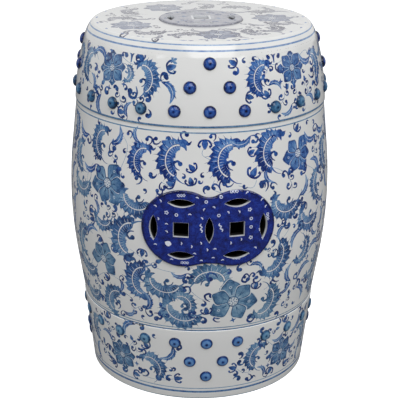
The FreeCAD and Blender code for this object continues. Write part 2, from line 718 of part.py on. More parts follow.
def shoulder_side(sketch, height):
    """The upper band's side, and a line from its centre to the stud's foot."""
    start = ("places.shoulder_bottom_radius + sizes.stud_seat", "places.upper_joint")
    end = ("places.shoulder_top_radius + sizes.stud_seat", "places.shoulder_joint")
    ends = [(number(point[0]), number(point[1])) for point in (start, end)]
    curve = number("sizes.shoulder_curve")
    centre = centre_left_of(ends[0], ends[1], curve)
    level = number(height)
    foot = (centre[0] + math.sqrt(curve**2 - (level - centre[1]) ** 2), level)
    axis = draw_line(sketch, centre, foot, True)
    side = draw_held_arc(sketch, start, end, "sizes.shoulder_curve", True)
    join(sketch, axis, 1, side, 3)
    sketch.addConstraint(Sketcher.Constraint("PointOnObject", axis, 2, side))
    hold(sketch, "DistanceY", axis, 2, height)
    return axis


def lower_band_side(sketch, height):
    """The lower band's side, and a line square to it that ends at the stud's foot."""
    start = ("places.foot_top_radius + sizes.stud_seat", "sizes.foot_height")
    end = ("places.lower_band_radius + sizes.stud_seat", "places.lower_joint")
    ends = [(number(point[0]), number(point[1])) for point in (start, end)]
    level = number(height)
    share = (level - ends[0][1]) / (ends[1][1] - ends[0][1])
    foot = (ends[0][0] + share * (ends[1][0] - ends[0][0]), level)
    length = math.dist(ends[0], ends[1])
    out = ((ends[1][1] - ends[0][1]) / length, (ends[0][0] - ends[1][0]) / length)
    reach = number("sizes.wall")
    axis = draw_line(sketch, (foot[0] - reach * out[0], foot[1] - reach * out[1]), foot, True)
    side = draw_line(sketch, ends[0], ends[1], True)
    hold_point(sketch, side, 1, *start)
    hold_point(sketch, side, 2, *end)
    sketch.addConstraint(Sketcher.Constraint("PointOnObject", axis, 2, side))
    hold(sketch, "DistanceY", axis, 2, height)
    sketch.addConstraint(Sketcher.Constraint("Perpendicular", axis, side))
    bind(sketch, Sketcher.Constraint("Distance", axis, reach), "sizes.wall")
    return axis


def add_stud(body, label, surface, height, rise, angle=None):
    """One stud on the body's front, or turned from it by an angle of the sheet."""
    sketch = new_sketch(body, f"{label}_section")
    if angle:
        sketch.AttachmentOffset = Placement(Vector(), Rotation(Vector(0, -1, 0), number(angle)))
        sketch.setExpression("AttachmentOffset.Rotation.Angle", angle)
    draw_stud(sketch, surface, height, rise)
    return revolve(body, sketch, label, (sketch, ["Axis0"]))


def repeat_round(body, label, stud, angle, count):
    """Copies a stud about the stool's axis."""
    ring = body.newObject("PartDesign::PolarPattern", label)
    ring.Originals = [stud]
    ring.Axis = (origin_plane(body, "Z_Axis"), [""])
    ring.setExpression("Angle", angle)
    ring.setExpression("Occurrences", count)
    body.Tip = ring


def stud_ring(band, surface):
    """The full ring of studs on one band."""
    body = new_body(f"{band}_stud_ring")
    stud = add_stud(body, f"{band}_ring_stud", surface, f"places.{band}_ring_height",
                    f"sizes.{band}_stud_rise")
    repeat_round(body, f"{band}_studs", stud, str(FULL_TURN), "sizes.stud_count")
    # A section on XZ_Plane makes its stud towards +X; a quarter turn brings it to the front.
    body.Placement = Placement(Vector(), Rotation(Vector(0, 0, 1), -QUARTERS["right"]))
    return body


def stud_cluster(band, surface, place):
    """The three studs that make a triangle with the ring, on one face of the stool."""
    body = new_body(f"{band}_stud_cluster_{place}")
    name = f"{band}_{place}"
    rise = f"sizes.{band}_stud_rise"
    pair = add_stud(body, f"{name}_pair_stud", surface, f"places.{band}_pair_height", rise,
                    f"sizes.{band}_pair_angle")
    repeat_round(body, f"{name}_pair", pair, f"2 * sizes.{band}_pair_angle", "2")
    add_stud(body, f"{name}_tip_stud", surface, f"places.{band}_tip_height", rise)
    turn = QUARTERS[place] - QUARTERS["right"]
    body.Placement = Placement(Vector(), Rotation(Vector(0, 0, 1), turn))
    return body


for made in (foot_ring(), lower_band(), barrel(), upper_band(), seat(), seat_coin()):
    parts[made.Label] = made
parts.update(coin_tiles())
for band, surface in (("upper", shoulder_side), ("lower", lower_band_side)):
    ring = stud_ring(band, surface)
    parts[ring.Label] = ring
    for place in QUARTERS:
        cluster = stud_cluster(band, surface, place)
        parts[cluster.Label] = cluster
doc.recompute()

failed = [item.Label for item in doc.Objects if {"Invalid", "Error"} & set(item.State)]
if failed:
    raise RuntimeError(f"not built: {failed}")
for name, item in parts.items():
    if item.Shape.isNull() or not item.Shape.isValid():
        raise RuntimeError(f"{name} has no valid shape")

os.makedirs("parts", exist_ok=True)
for name, item in parts.items():
    item.Shape.exportStep(os.path.join("parts", f"{name}.step"))
    box = item.Shape.BoundBox
    print(f"{name}: {len(item.Shape.Solids)} solids, {item.Shape.Volume / 1000:.1f} cm3, "
          f"{box.XLength:.1f} x {box.YLength:.1f} x {box.ZLength:.1f} mm, from z {box.ZMin:.1f}")
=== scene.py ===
import math

import bpy
import numpy as np
from mathutils import Matrix, Vector
from mathutils.geometry import delaunay_2d_cdt


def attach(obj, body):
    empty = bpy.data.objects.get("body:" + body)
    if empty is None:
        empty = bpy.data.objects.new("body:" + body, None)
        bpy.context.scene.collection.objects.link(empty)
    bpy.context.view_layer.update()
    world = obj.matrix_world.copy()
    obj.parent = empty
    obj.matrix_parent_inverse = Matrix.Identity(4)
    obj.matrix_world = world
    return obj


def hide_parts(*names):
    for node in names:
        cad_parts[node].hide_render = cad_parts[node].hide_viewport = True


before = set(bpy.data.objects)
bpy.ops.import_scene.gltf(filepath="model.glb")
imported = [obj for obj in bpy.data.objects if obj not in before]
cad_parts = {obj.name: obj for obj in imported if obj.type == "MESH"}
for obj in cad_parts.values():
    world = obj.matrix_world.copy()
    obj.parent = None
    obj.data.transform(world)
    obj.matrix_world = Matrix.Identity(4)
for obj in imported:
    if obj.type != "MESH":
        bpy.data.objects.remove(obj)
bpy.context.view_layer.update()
MM = 0.001

# Unglazed clay: the stool is thrown and luted in parts of one stoneware, left unglazed
# inside and under the foot. It is matt, with the fine grit of a wiped surface. Its dark
# colour is painted shade, so that the inside looks dark through the pierced holes.


def linear(hex_colour):
    """An sRGB hex colour as linear RGBA."""
    channels = [int(hex_colour[i:i + 2], 16) / 255 for i in (1, 3, 5)]
    return [c / 12.92 if c <= 0.04045 else ((c + 0.055) / 1.055) ** 2.4 for c in channels] + [1.0]


def add(material, kind, links=(), **settings):
    """Adds a shader node with its settings, fed by (input, node, output) or (input, number)."""
    tree = material.node_tree
    node = tree.nodes.new(f"ShaderNode{kind}")
    for name, value in settings.items():
        if name in node.inputs:
            node.inputs[name].default_value = value
        else:
            setattr(node, name, value)
    for socket, source, *output in links:
        if output:
            tree.links.new(source.outputs[output[0]], node.inputs[socket])
        else:
            node.inputs[socket].default_value = source
    return node


def new_material(name):
    """A material with no nodes yet."""
    material = bpy.data.materials.new(name)
    material.use_nodes = True
    material.node_tree.nodes.clear()
    return material


def set_ramp(ramp, stops):
    """Gives a colour ramp its stops, each a position and a linear colour."""
    elements = ramp.color_ramp.elements
    while len(elements) < len(stops):
        elements.new(0.5)
    for element, (position, colour) in zip(elements, stops):
        element.position = position
        element.color = colour


def dress(nodes, material):
    """Gives solids of the CAD a material of their own."""
    for name in nodes:
        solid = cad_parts[name].data
        solid.materials.clear()
        solid.materials.append(material)


# The clay's dark colour is painted shade for the unlit inside seen through the holes; its grit is its own.
clay = new_material("clay darkened as painted shade")
place = add(clay, "TexCoord")
grit = add(clay, "TexNoise", [("Vector", place, "Object")], Scale=1 / (2 * MM), Detail=3.0)
tone = add(clay, "ValToRGB", [("Fac", grit, "Fac")])
set_ramp(tone, [(0.25, linear("#2E2C2A")), (0.55, linear("#45423E"))])
dust = add(clay, "Bump", [("Height", grit, "Fac")], Strength=0.25, Distance=0.2 * MM)
shader = add(clay, "BsdfPrincipled", [("Base Color", tone, "Color"), ("Normal", dust, "Normal")],
             Roughness=0.75, IOR=1.5)
add(clay, "OutputMaterial", [("Surface", shader, "BSDF")])
dress(("foot_ring", "lower_band", "barrel", "upper_band", "seat"), clay)

# Barrel: its outside is painted in cobalt on the raw glaze, line first and wash
# after, and fired under a clear gloss coat. Brush strokes are cut into the coat
# as areas of their own, each with a depth of pigment and a share of grey in it.

GLOSS = 0.15 * MM  # how far the coat stands off the clay


def catmull(points, steps=6, closed=False):
    """A smooth line through points."""
    points = np.array(points, float)
    count = len(points)
    spans = count if closed else count - 1
    line = []
    for i in range(spans):
        picks = [(i + k) % count if closed else min(max(i + k, 0), count - 1) for k in (-1, 0, 1, 2)]
        a, b, c, d = points[picks]
        for t in np.arange(steps) / steps:
            line.append(0.5 * (2 * b + (c - a) * t + (2 * a - 5 * b + 4 * c - d) * t**2
                               + (3 * b - a - 3 * c + d) * t**3))
    if not closed:
        line.append(points[-1])
    return np.array(line)


def ribbon(path, widths):
    """The outline of a brush stroke along a path, its width given at even steps."""
    path = np.array(path, float)
    share = np.linspace(0, 1, len(path))
    width = np.interp(share, np.linspace(0, 1, len(widths)), widths)[:, None] / 2
    along = np.gradient(path, axis=0)
    along /= np.maximum(np.linalg.norm(along, axis=1)[:, None], 1e-9)
    side = np.stack([-along[:, 1], along[:, 0]], 1)
    return np.vstack([path + side * width, (path - side * width)[::-1]])


def ring_points(centre, radius, count):
    """Evenly spaced points on a circle."""
    turns = np.arange(count) / count * 2 * math.pi
    return np.array(centre) + radius * np.stack([np.cos(turns), np.sin(turns)], 1)


class Stroke:
    """One painted area: its outline in millimetres and its pigment from root to reach."""

    def __init__(self, outline, depth, root=(0, 0), reach=1.0, grey=0.0):
        self.outline = np.array(outline, float)
        self.depth = depth if isinstance(depth, tuple) else (depth, depth)
        self.root = np.array(root, float)
        self.reach = reach
        self.grey = grey

    def moved(self, centre, turn=0.0, size=1.0, flip=False, grey=0.0, strength=1.0):
        """The stroke flipped, sized, turned by degrees, moved, and made greyer or weaker."""
        angle = math.radians(turn)
        spin = np.array([[math.cos(angle), math.sin(angle)], [-math.sin(angle), math.cos(angle)]])
        mirror = np.array([-1.0 if flip else 1.0, 1.0])
        outline = self.outline * size * mirror @ spin + centre
        root = self.root * size * mirror @ spin + centre
        depth = tuple(d * strength for d in self.depth)
        return Stroke(outline, depth, root, self.reach * size, max(self.grey, grey))


def nested(outline, inset, depth_line, depth, root, reach):
    """A shape with a dark brush line round a wash."""
    outline = np.array(outline, float)
    along = np.roll(outline, -1, 0) - np.roll(outline, 1, 0)
    along /= np.maximum(np.linalg.norm(along, axis=1)[:, None], 1e-9)
    area = np.sum(outline[:, 0] * np.roll(outline[:, 1], -1) - np.roll(outline[:, 0], -1) * outline[:, 1])
    inward = np.stack([-along[:, 1], along[:, 0]], 1) * (1 if area > 0 else -1)
    return [Stroke(outline, depth_line, root, reach), Stroke(outline + inward * inset, depth, root, reach)]


def comma(length=11.0, width=3.9, bend=0.9, depth=0.95):
    """A comma: a round head that thins into a curled tail."""
    turns = np.linspace(0, bend * math.pi, 11)
    radius = length / (bend * math.pi)
    path = np.stack([radius * np.sin(turns), radius * (1 - np.cos(turns))], 1)
    head = ring_points(path[0] + (0.0, 0.35 * width), 0.62 * width, 9)
    return [Stroke(ribbon(path, [0.8 * width, 0.9 * width, 0.5 * width, 0.15 * width]), depth),
            Stroke(head, depth)]


def feather(start, turn, length, width, lean, depth):
    """One pointed brush mark that leaves a stem and leans over as it thins."""
    angles = math.radians(turn) + np.linspace(0, math.radians(lean), 3)
    steps = np.stack([np.cos(angles), np.sin(angles)], 1) * length / 3
    path = np.vstack([[start], np.array(start) + np.cumsum(steps, 0)])
    widths = [0.8 * width, width, 0.75 * width, 0.4 * width, 0.12 * width]
    return Stroke(ribbon(path, widths), depth, start, length)


def leaf(start=80, end=264, spine=15.0, points=12, crest=10.6, hatch=10.0):
    """A scrolled leaf: a thick crescent, toothed outside and combed inside a white rib."""
    last = 60  # the leaf is drawn through places 0 to last along its rib
    rib = 0.9
    turns = np.linspace(start, end, last + 1)
    share = np.linspace(0, 1, last + 1)
    swell = np.sin(math.pi * (0.05 + 0.9 * share)) ** 0.6
    squeeze = np.array([0.84, 1.04])

    def at(reach, i):
        """The point of place i at a distance from the leaf's middle."""
        angle = math.radians(turns[i])
        return tuple(reach * np.array([math.cos(angle), math.sin(angle)]) * squeeze + (7.0, 0.0))

    strokes = []
    teeth = share * points % 1.0
    combs = share * (points + 3) % 1.0
    wander = 1 + 0.12 * np.sin(19 * share + spine)
    for side, depth, wide in ((1, (0.5, 1.0), crest * swell * wander * (0.74 + 0.38 * teeth)),
                              (-1, (0.6, 1.0), hatch * swell * wander * (0.8 + 0.24 * (1 - combs)))):
        near = [at(spine + side * rib, i) for i in range(0, last + 1, 3)]
        far = [at(spine + side * (rib + wide[i]), i) for i in range(last, -1, -1)]
        strokes.append(Stroke(near + far, depth, at(spine, 0), 2.1 * spine))
        middle = [at(spine + side * (rib + 0.55 * wide[i]), i) for i in range(35, 57, 3)]
        strokes.append(Stroke(ribbon(middle, [0.3, 2.4, 3.0, 2.0, 0.3]), 1.0))
    for k in range(points):
        i = min(round((k + 0.9) * last / points), last)
        length = crest * swell[i]
        strokes.append(feather(at(spine + 3.0, i), turns[i] - 18, 1.05 * length, 0.9, 30, 1.0))
        strokes.append(feather(at(spine + 1.0, i - 2), turns[i] - 6, 0.5 * length, 0.5, 10, 0.12))
    for k in range(points + 3):
        i = round((k + 0.4) * last / (points + 3))
        length = hatch * swell[i]
        strokes.append(feather(at(spine - 1.0, i), turns[i] + 186, 0.5 * length, 0.4, -8, 0.2))
    for shift, width in ((rib, 0.5), (-rib, 0.4)):
        strokes.append(Stroke(ribbon([at(spine + shift, i) for i in range(0, last + 1, 4)], [width]), 0.95))
    for k in range(1, 10):
        strokes.append(Stroke(ring_points(at(spine, 6 * k), 0.32, 4), 0.6))
    head = np.array(at(spine + 1.0, 0))
    for path, widths in (([(-2, 1.5), (3.0, 2.6), (7.5, 0.5), (10.5, 3.5)], [4.6, 5.4, 3.0, 0.4]),
                         ([(-1, 0), (3.5, -1.5), (5.5, -6.0)], [3.4, 4.0, 0.5])):
        path = catmull([head + p for p in path], 4)
        strokes.append(Stroke(ribbon(path, widths), (0.7, 1.0), path[0], 9))
    foot = np.array(at(spine, last))
    path = catmull([foot + p for p in ((-2, 1), (1.5, -3.0), (6.0, -6.0), (11.0, -7.0))], 4)
    strokes.append(Stroke(ribbon(path, [2.6, 1.6, 0.8, 0.5]), 0.85))
    return strokes + [s.moved((8.5, -9.0), -15, flip=True) for s in hook(9.5, 3.0)]


def spray(size=10.0):
    """A small half leaf: a bold curved blade with a toothed back and a curled stalk."""
    path = catmull([(-0.5 * size, -0.9 * size), (-0.6 * size, -0.1 * size), (-0.1 * size, 0.6 * size),
                    (0.8 * size, 0.8 * size)], 4)
    widths = [0.1 * size, 0.5 * size, 0.62 * size, 0.4 * size, 0.04 * size]
    strokes = [Stroke(ribbon(path, widths), (0.95, 0.5), path[0], 2.2 * size)]
    for k in range(2, len(path) - 3, 2):
        along = path[k + 1] - path[k]
        turn = math.degrees(math.atan2(along[1], along[0]))
        strokes.append(feather(path[k], turn + 62, 0.5 * size, 0.16 * size, -30, (0.7, 1.0)))
    strokes.append(Stroke(ribbon(path[2:-2], [0.3, 0.5, 0.3]), 0.1))
    return strokes + [s.moved(path[0], 60, flip=True) for s in hook(0.9 * size, 0.26 * size)]


def hook(length=10.0, width=3.1):
    """A dark curl: a thin stalk that swings round to a round blot."""
    path = catmull([(0, 0), (0.45 * length, 0.1 * length), (0.75 * length, 0.5 * length),
                    (0.45 * length, 0.85 * length), (0.12 * length, 0.66 * length)], 3)
    return [Stroke(ribbon(path, [0.7, 0.5 * width, 0.75 * width, 0.8 * width, width]), 1.0),
            Stroke(ring_points(path[-1], 0.8 * width, 8), 1.0)]


def sprig():
    """A stalk with dark curls and drops to its left and right."""
    stalk = catmull([(-2.5, -11), (0.5, -4), (-0.5, 4), (2.0, 10)], 3)
    strokes = [Stroke(ribbon(stalk, [0.45, 0.6, 0.5, 0.35]), 0.7)]
    for place, turn, size, flip in (((0.3, -8), -60, 0.75, False), ((0.2, -3), 60, 0.85, True),
                                    ((-0.3, 3), -40, 0.7, False)):
        strokes += [s.moved(place, turn, size, flip) for s in hook(10.0, 3.7)]
    drop = catmull([(1.6, 8.0), (5.0, 11.0), (3.4, 17.0), (-0.6, 12.0)], 4, True)
    strokes.append(Stroke(drop, (1.0, 0.6), (1.6, 8.5), 8))
    return strokes


def petal(length, width):
    """The outline of one petal that points along +y from the origin."""
    return catmull([(0, 0.14 * length), (0.4 * width, 0.42 * length), (0.52 * width, 0.68 * length),
                    (0.26 * width, 0.88 * length), (0.03 * width, 1.02 * length),
                    (-0.26 * width, 0.88 * length), (-0.52 * width, 0.66 * length),
                    (-0.4 * width, 0.42 * length)], 3, True)


def blossom(petals=8, radius=25.0, start=0.0, fan=360.0, uneven=0.0, eyes=True, broad=1.2):
    """An open blossom, or a half-open one where its petals fan over less than a full turn."""
    strokes = []
    full = fan > 359
    step = fan / petals if full else fan / max(petals - 1, 1)
    for k in sorted(range(petals), key=lambda k: k % 2):
        turn = start + k * step if full else start + fan / 2 - k * step
        length = radius * (1 - uneven * (k % 2))
        width = broad * 2 * 0.68 * length * math.tan(math.radians(step / 2))
        depth = ((0.35, 1.0), (0.55, 1.0), (0.3, 0.95))[k % 3]
        marks = [Stroke(petal(1.03 * length, 1.1 * width), 0.1)]
        marks += nested(petal(length, width), 1.1, 1.0, depth, (0, 0), radius)
        for lean in (-7, 0, 7):
            marks.append(feather((0, 0.3 * length), 90 + 1.5 * lean, 0.4 * length, 0.9, 0, 1.0))
        strokes += [mark.moved((0, 0), turn) for mark in marks]
        if eyes:
            angle = math.radians(turn)
            spot = (0.74 * length * math.sin(angle), 0.74 * length * math.cos(angle))
            strokes.append(Stroke(ring_points(spot, 1.7, 8), 0.3))
            strokes.append(Stroke(ring_points(spot, 0.8, 6), 1.0))
    strokes.append(Stroke(ring_points((0, 0), 0.24 * radius, 14), 0.95))
    strokes.append(Stroke(ring_points((0, 0), 0.19 * radius, 14), 0.12))
    for reach, count in ((0.15, 8), (0.07, 4)):
        for angle in np.arange(count) * 2 * math.pi / count:
            spot = (reach * radius * math.cos(angle), reach * radius * math.sin(angle))
            strokes.append(Stroke(ring_points(spot, 0.8, 6), 0.9))
    return strokes


def star(size=4.2):
    """A four-pointed star that fills a gap."""
    turns = np.arange(8) * math.pi / 4
    reach = np.where(np.arange(8) % 2 == 0, size, 0.36 * size)
    return [Stroke(np.stack([reach * np.cos(turns), reach * np.sin(turns)], 1), 0.9)]


def bud(size=9.0):
    """A closed bud between two horns."""
    strokes = nested(catmull([(0, -0.2 * size), (0.42 * size, 0.3 * size), (0, 1.1 * size),
                              (-0.42 * size, 0.3 * size)], 5, True), 0.6, 1.0, (1.0, 0.7), (0, 0), size)
    for side in (1, -1):
        horn = catmull([(0, -0.2 * size), (0.55 * side * size, 0.0), (0.85 * side * size, 0.55 * size),
                        (0.55 * side * size, 0.75 * size)], 5)
        strokes.append(Stroke(ribbon(horn, [0.16 * size, 0.28 * size, 0.22 * size, 0.4 * size]), 1.0))
    return strokes


def trefoil(size=6.0):
    """Three small drops on one stalk."""
    outline = [(0, 0.1 * size), (0.24 * size, 0.65 * size), (0, size), (-0.24 * size, 0.65 * size)]
    drop = Stroke(catmull(outline, 4, True), (0.9, 0.65), (0, 0), size)
    stalk = Stroke(ribbon([(0, -0.5 * size), (0, 0.2 * size)], [0.1 * size, 0.2 * size]), 0.8)
    return [drop.moved((0, 0), turn) for turn in (-55, 0, 55)] + [stalk]


def horns(size=8.0):
    """Two tendrils that curl away from one stalk."""
    strokes = []
    for side in (1, -1):
        path = catmull([(0, -0.6 * size), (0.08 * side * size, 0.2 * size), (0.5 * side * size, 0.62 * size),
                        (0.9 * side * size, 0.3 * size), (0.72 * side * size, 0.02 * size)], 5)
        strokes.append(Stroke(ribbon(path, [0.16 * size, 0.22 * size, 0.3 * size, 0.36 * size]), 0.95))
        strokes.append(Stroke(ring_points((0.74 * side * size, 0.08 * size), 0.26 * size, 9), 1.0))
    return strokes


MOTIFS = {
    "leaf": leaf(),
    "small leaf": leaf(84, 260, 12.0, 10, 8.6, 7.8),
    "open blossom": blossom(),
    "daisy": blossom(9, 23.0, eyes=False),
    "lily": blossom(6, 27.0, 180.0, 275.0, 0.12, True, 1.0),
    "fan": blossom(5, 25.0, 180.0, 230.0, 0.12, False, 0.95),
    "spray": spray(), "sprig": sprig(), "hook": hook(), "comma": comma(),
    "bud": bud(), "horns": horns(), "trefoil": trefoil(), "star": star(),
}
# How far each motif reaches from its middle, in millimetres.
REACHES = {
    "leaf": 21, "small leaf": 17, "open blossom": 25, "daisy": 23, "lily": 26, "fan": 24,
    "spray": 10, "sprig": 11, "hook": 6.5, "comma": 5, "bud": 8, "horns": 8, "trefoil": 5, "star": 3.2,
}
SEAM = -100.0  # the angle at which a turned surface is cut open to be painted
COLUMNS = 200  # of points round a turned surface
# A turned surface gets a row of points after so long a way up its side, or where the
# side has turned so far, and a longer stretch between two rows is divided.
ROW, BEND, STRETCH = 6 * MM, math.cos(math.radians(3)), 7 * MM


class Turned:
    """A turned surface, unrolled: across is an angle from the front, up is the way along its side."""

    def __init__(self, sides):
        self.radii, self.heights = (np.array(v) for v in zip(*sides))
        steps = np.hypot(np.diff(self.radii), np.diff(self.heights))
        self.way = np.concatenate([[0.0], np.cumsum(steps)])
        along = np.stack([np.gradient(self.radii, self.way), np.gradient(self.heights, self.way)], 1)
        along /= np.linalg.norm(along, axis=1)[:, None]
        self.out = np.stack([along[:, 1], -along[:, 0]], 1)
        self.scale = (math.radians(1) * self.radii.max(), 1.0)

    def field(self):
        """The plan's points and the line round it."""
        ways, facing = [self.way[0]], self.out[0]
        for way, out in zip(self.way[1:], self.out[1:]):
            if way - ways[-1] > ROW or out @ facing < BEND or way == self.way[-1]:
                start, count = ways[-1], max(1, round((way - ways[-1]) / STRETCH))
                ways += [start + (way - start) * (k + 1) / count for k in range(count)]
                facing = out
        rows = len(ways)
        grid = np.array([(a, w) for a in np.linspace(SEAM, SEAM + 360, COLUMNS + 1) for w in ways])
        line = [i * rows for i in range(COLUMNS + 1)]
        line += [COLUMNS * rows + j for j in range(1, rows)]
        line += [i * rows + rows - 1 for i in range(COLUMNS - 1, -1, -1)]
        line += list(range(rows - 2, 0, -1))
        return grid, line

    def spread(self, laid):
        """The strokes, repeated past the seam and kept within the surface."""
        low, high = (SEAM, self.way[0]), (SEAM + 360, self.way[-1])
        for s, outline, root, radius in laid:
            for shift in (-360.0, 0.0, 360.0):
                if outline[:, 0].max() + shift < SEAM or outline[:, 0].min() + shift > SEAM + 360:
                    continue
                moved = np.array([shift, 0.0])
                yield (np.clip(outline + moved, low, high), s.depth, root + moved, s.reach * MM, s.grey,
                       (math.radians(1) * radius, 1.0))

    def place(self, plan, lift):
        """Points and normals for plan points (degrees, way)."""
        radius = np.interp(plan[:, 1], self.way, self.radii)
        height = np.interp(plan[:, 1], self.way, self.heights)
        out_radius = np.interp(plan[:, 1], self.way, self.out[:, 0])
        out_height = np.interp(plan[:, 1], self.way, self.out[:, 1])
        length = np.hypot(out_radius, out_height)
        out_radius, out_height = out_radius / length, out_height / length
        radius = radius + lift * out_radius
        angle = np.radians(plan[:, 0])
        points = np.stack([radius * np.sin(angle), -radius * np.cos(angle), height + lift * out_height], 1)
        normals = np.stack([out_radius * np.sin(angle), -out_radius * np.cos(angle), out_height], 1)
        return points, normals

    def on_side(self, strokes, angle, height):
        """Strokes in millimetres about the origin, wrapped round the side at an angle and height."""
        middle = np.interp(height * MM, self.heights, self.way)
        radius = np.interp(height * MM, self.heights, self.radii)
        for s in strokes:
            outline = np.stack([angle + np.degrees(s.outline[:, 0] * MM / radius),
                                middle + s.outline[:, 1] * MM], 1)
            root = np.array([angle + math.degrees(s.root[0] * MM / radius), middle + s.root[1] * MM])
            yield s, outline, root, radius

    def on_top(self, strokes, angle, distance):
        """Strokes in millimetres, laid on the top at an angle and a distance from the axis."""
        flat = self.way[-1] + self.radii[-1]

        def bent(points):
            """Points of a stroke as (degrees, way) on the top."""
            x, y = points[:, 0], points[:, 1] + distance
            across = np.degrees(np.arctan2(x, y)) + angle
            return np.stack([across, flat - np.hypot(x, y) * MM], 1)

        for s in strokes:
            yield s, bent(s.outline), bent(s.root[None, :])[0], distance * MM


def motif(name, turn, size, flip, grey, strength):
    """The strokes of one motif about the origin."""
    return [s.moved((0, 0), turn, size, flip, grey, strength) for s in MOTIFS[name]]


def wound_round(spots, outline):
    """Which spots an outline winds round, also where it crosses itself."""
    ahead = np.roll(outline, -1, 0)
    x, y = spots[:, :1], spots[:, 1:]
    side = ((ahead[:, 0] - outline[:, 0]) * (y - outline[:, 1])
            - (x - outline[:, 0]) * (ahead[:, 1] - outline[:, 1]))
    up = (outline[:, 1] <= y) & (ahead[:, 1] > y) & (side > 0)
    down = (outline[:, 1] > y) & (ahead[:, 1] <= y) & (side < 0)
    return up.sum(1) != down.sum(1)


INSIDE, FINEST = 1, 1e-7  # triangles within the lines only, and the nearest that points may lie


def brush(surface, laid, holes=(), lift=GLOSS):
    """Cuts a surface along its brush strokes: its points, normals, triangles and pigment."""
    grid, line = surface.field()
    points, edges, total = [grid], [], len(grid)
    shapes = [(hole, None) for hole in holes] + list(surface.spread(laid))
    for outline, *_ in shapes:
        count = len(outline)
        points.append(outline)
        edges += [(total + k, total + (k + 1) % count) for k in range(count)]
        total += count
    plan = np.vstack(points) * surface.scale
    corners, _, faces, _, _, origins = delaunay_2d_cdt(
        [Vector(p) for p in plan], edges, [line], INSIDE, FINEST, True)
    corners = np.array([tuple(v) for v in corners]) / surface.scale
    # A face without an origin lies outside the line round the surface.
    triangles = np.array([face for face, origin in zip(faces, origins) if origin])
    middles = corners[triangles].mean(1)
    order = np.argsort(middles[:, 0], kind="stable")
    across = middles[order, 0]
    pigment = np.zeros(triangles.shape + (3,))
    kept = np.ones(len(triangles), bool)
    for outline, depth, *rest in shapes:
        low, high = outline.min(0), outline.max(0)
        near = order[np.searchsorted(across, low[0]):np.searchsorted(across, high[0])]
        near = near[(middles[near, 1] > low[1]) & (middles[near, 1] < high[1])]
        mine = near[wound_round(middles[near], outline)]
        if depth is None:
            kept[mine] = False
            continue
        root, reach, grey, scale = rest
        away = np.linalg.norm((corners[triangles[mine]] - root) * scale, axis=2)
        pigment[mine, :, 0] = depth[0] + (depth[1] - depth[0]) * np.clip(away / max(reach, 1e-9), 0, 1)
        pigment[mine, :, 1] = grey
    triangles, pigment = triangles[kept], pigment[kept]
    positions, normals = surface.place(corners, lift)
    return positions, normals, triangles, pigment


def paint(name, positions, normals, triangles, pigment):
    """The mesh of a coat, with the pigment of each triangle's corners."""
    used, triangles = np.unique(triangles, return_inverse=True)
    positions, normals, triangles = positions[used], normals[used], triangles.reshape(-1, 3)
    mesh = bpy.data.meshes.new(name)
    mesh.from_pydata(positions.tolist(), [], triangles.tolist())
    layer = mesh.attributes.new("pigment", "FLOAT_VECTOR", "CORNER")
    layer.data.foreach_set("vector", pigment.reshape(-1).astype(np.float32))
    mesh.polygons.foreach_set("use_smooth", np.ones(len(triangles), bool))
    mesh.normals_split_custom_set_from_vertices(normals.tolist())
    mesh.update()
    coat = bpy.data.objects.new(name, mesh)
    bpy.context.scene.collection.objects.link(coat)
    return coat


LEVEL, SLACK = 0.05 * MM, 0.02 * MM  # how finely heights are told apart, and dents forgiven


def side_of(node):
    """The outer side of a turned CAD node as (radius, height) pairs from the foot up."""
    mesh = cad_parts[node].data
    points = np.empty(len(mesh.vertices) * 3, np.float32)
    mesh.vertices.foreach_get("co", points)
    points = points.reshape(-1, 3).astype(float)
    levels = {}
    for radius, height in zip(np.hypot(points[:, 0], points[:, 1]), points[:, 2]):
        level = round(height / LEVEL)
        if radius > levels.get(level, (0.0, 0.0))[0]:
            levels[level] = (radius, height)
    sides = [levels[level] for level in sorted(levels)]
    # A level with no point on the outside lies inside the line of its neighbours.
    dented = True
    while dented:
        dented = False
        for i in range(1, len(sides) - 1):
            (r0, h0), (r1, h1), (r2, h2) = sides[i - 1:i + 2]
            if r1 < r0 + (r2 - r0) * (h1 - h0) / (h2 - h0) - SLACK:
                del sides[i]
                dented = True
                break
    return sides


def remap(material, link, start, end, low=0.0, high=1.0):
    """A node that carries a node's output from one range to another and holds it there."""
    span = {"From Min": start, "From Max": end, "To Min": low, "To Max": high}
    return add(material, "MapRange", [("Value", *link)], **span)


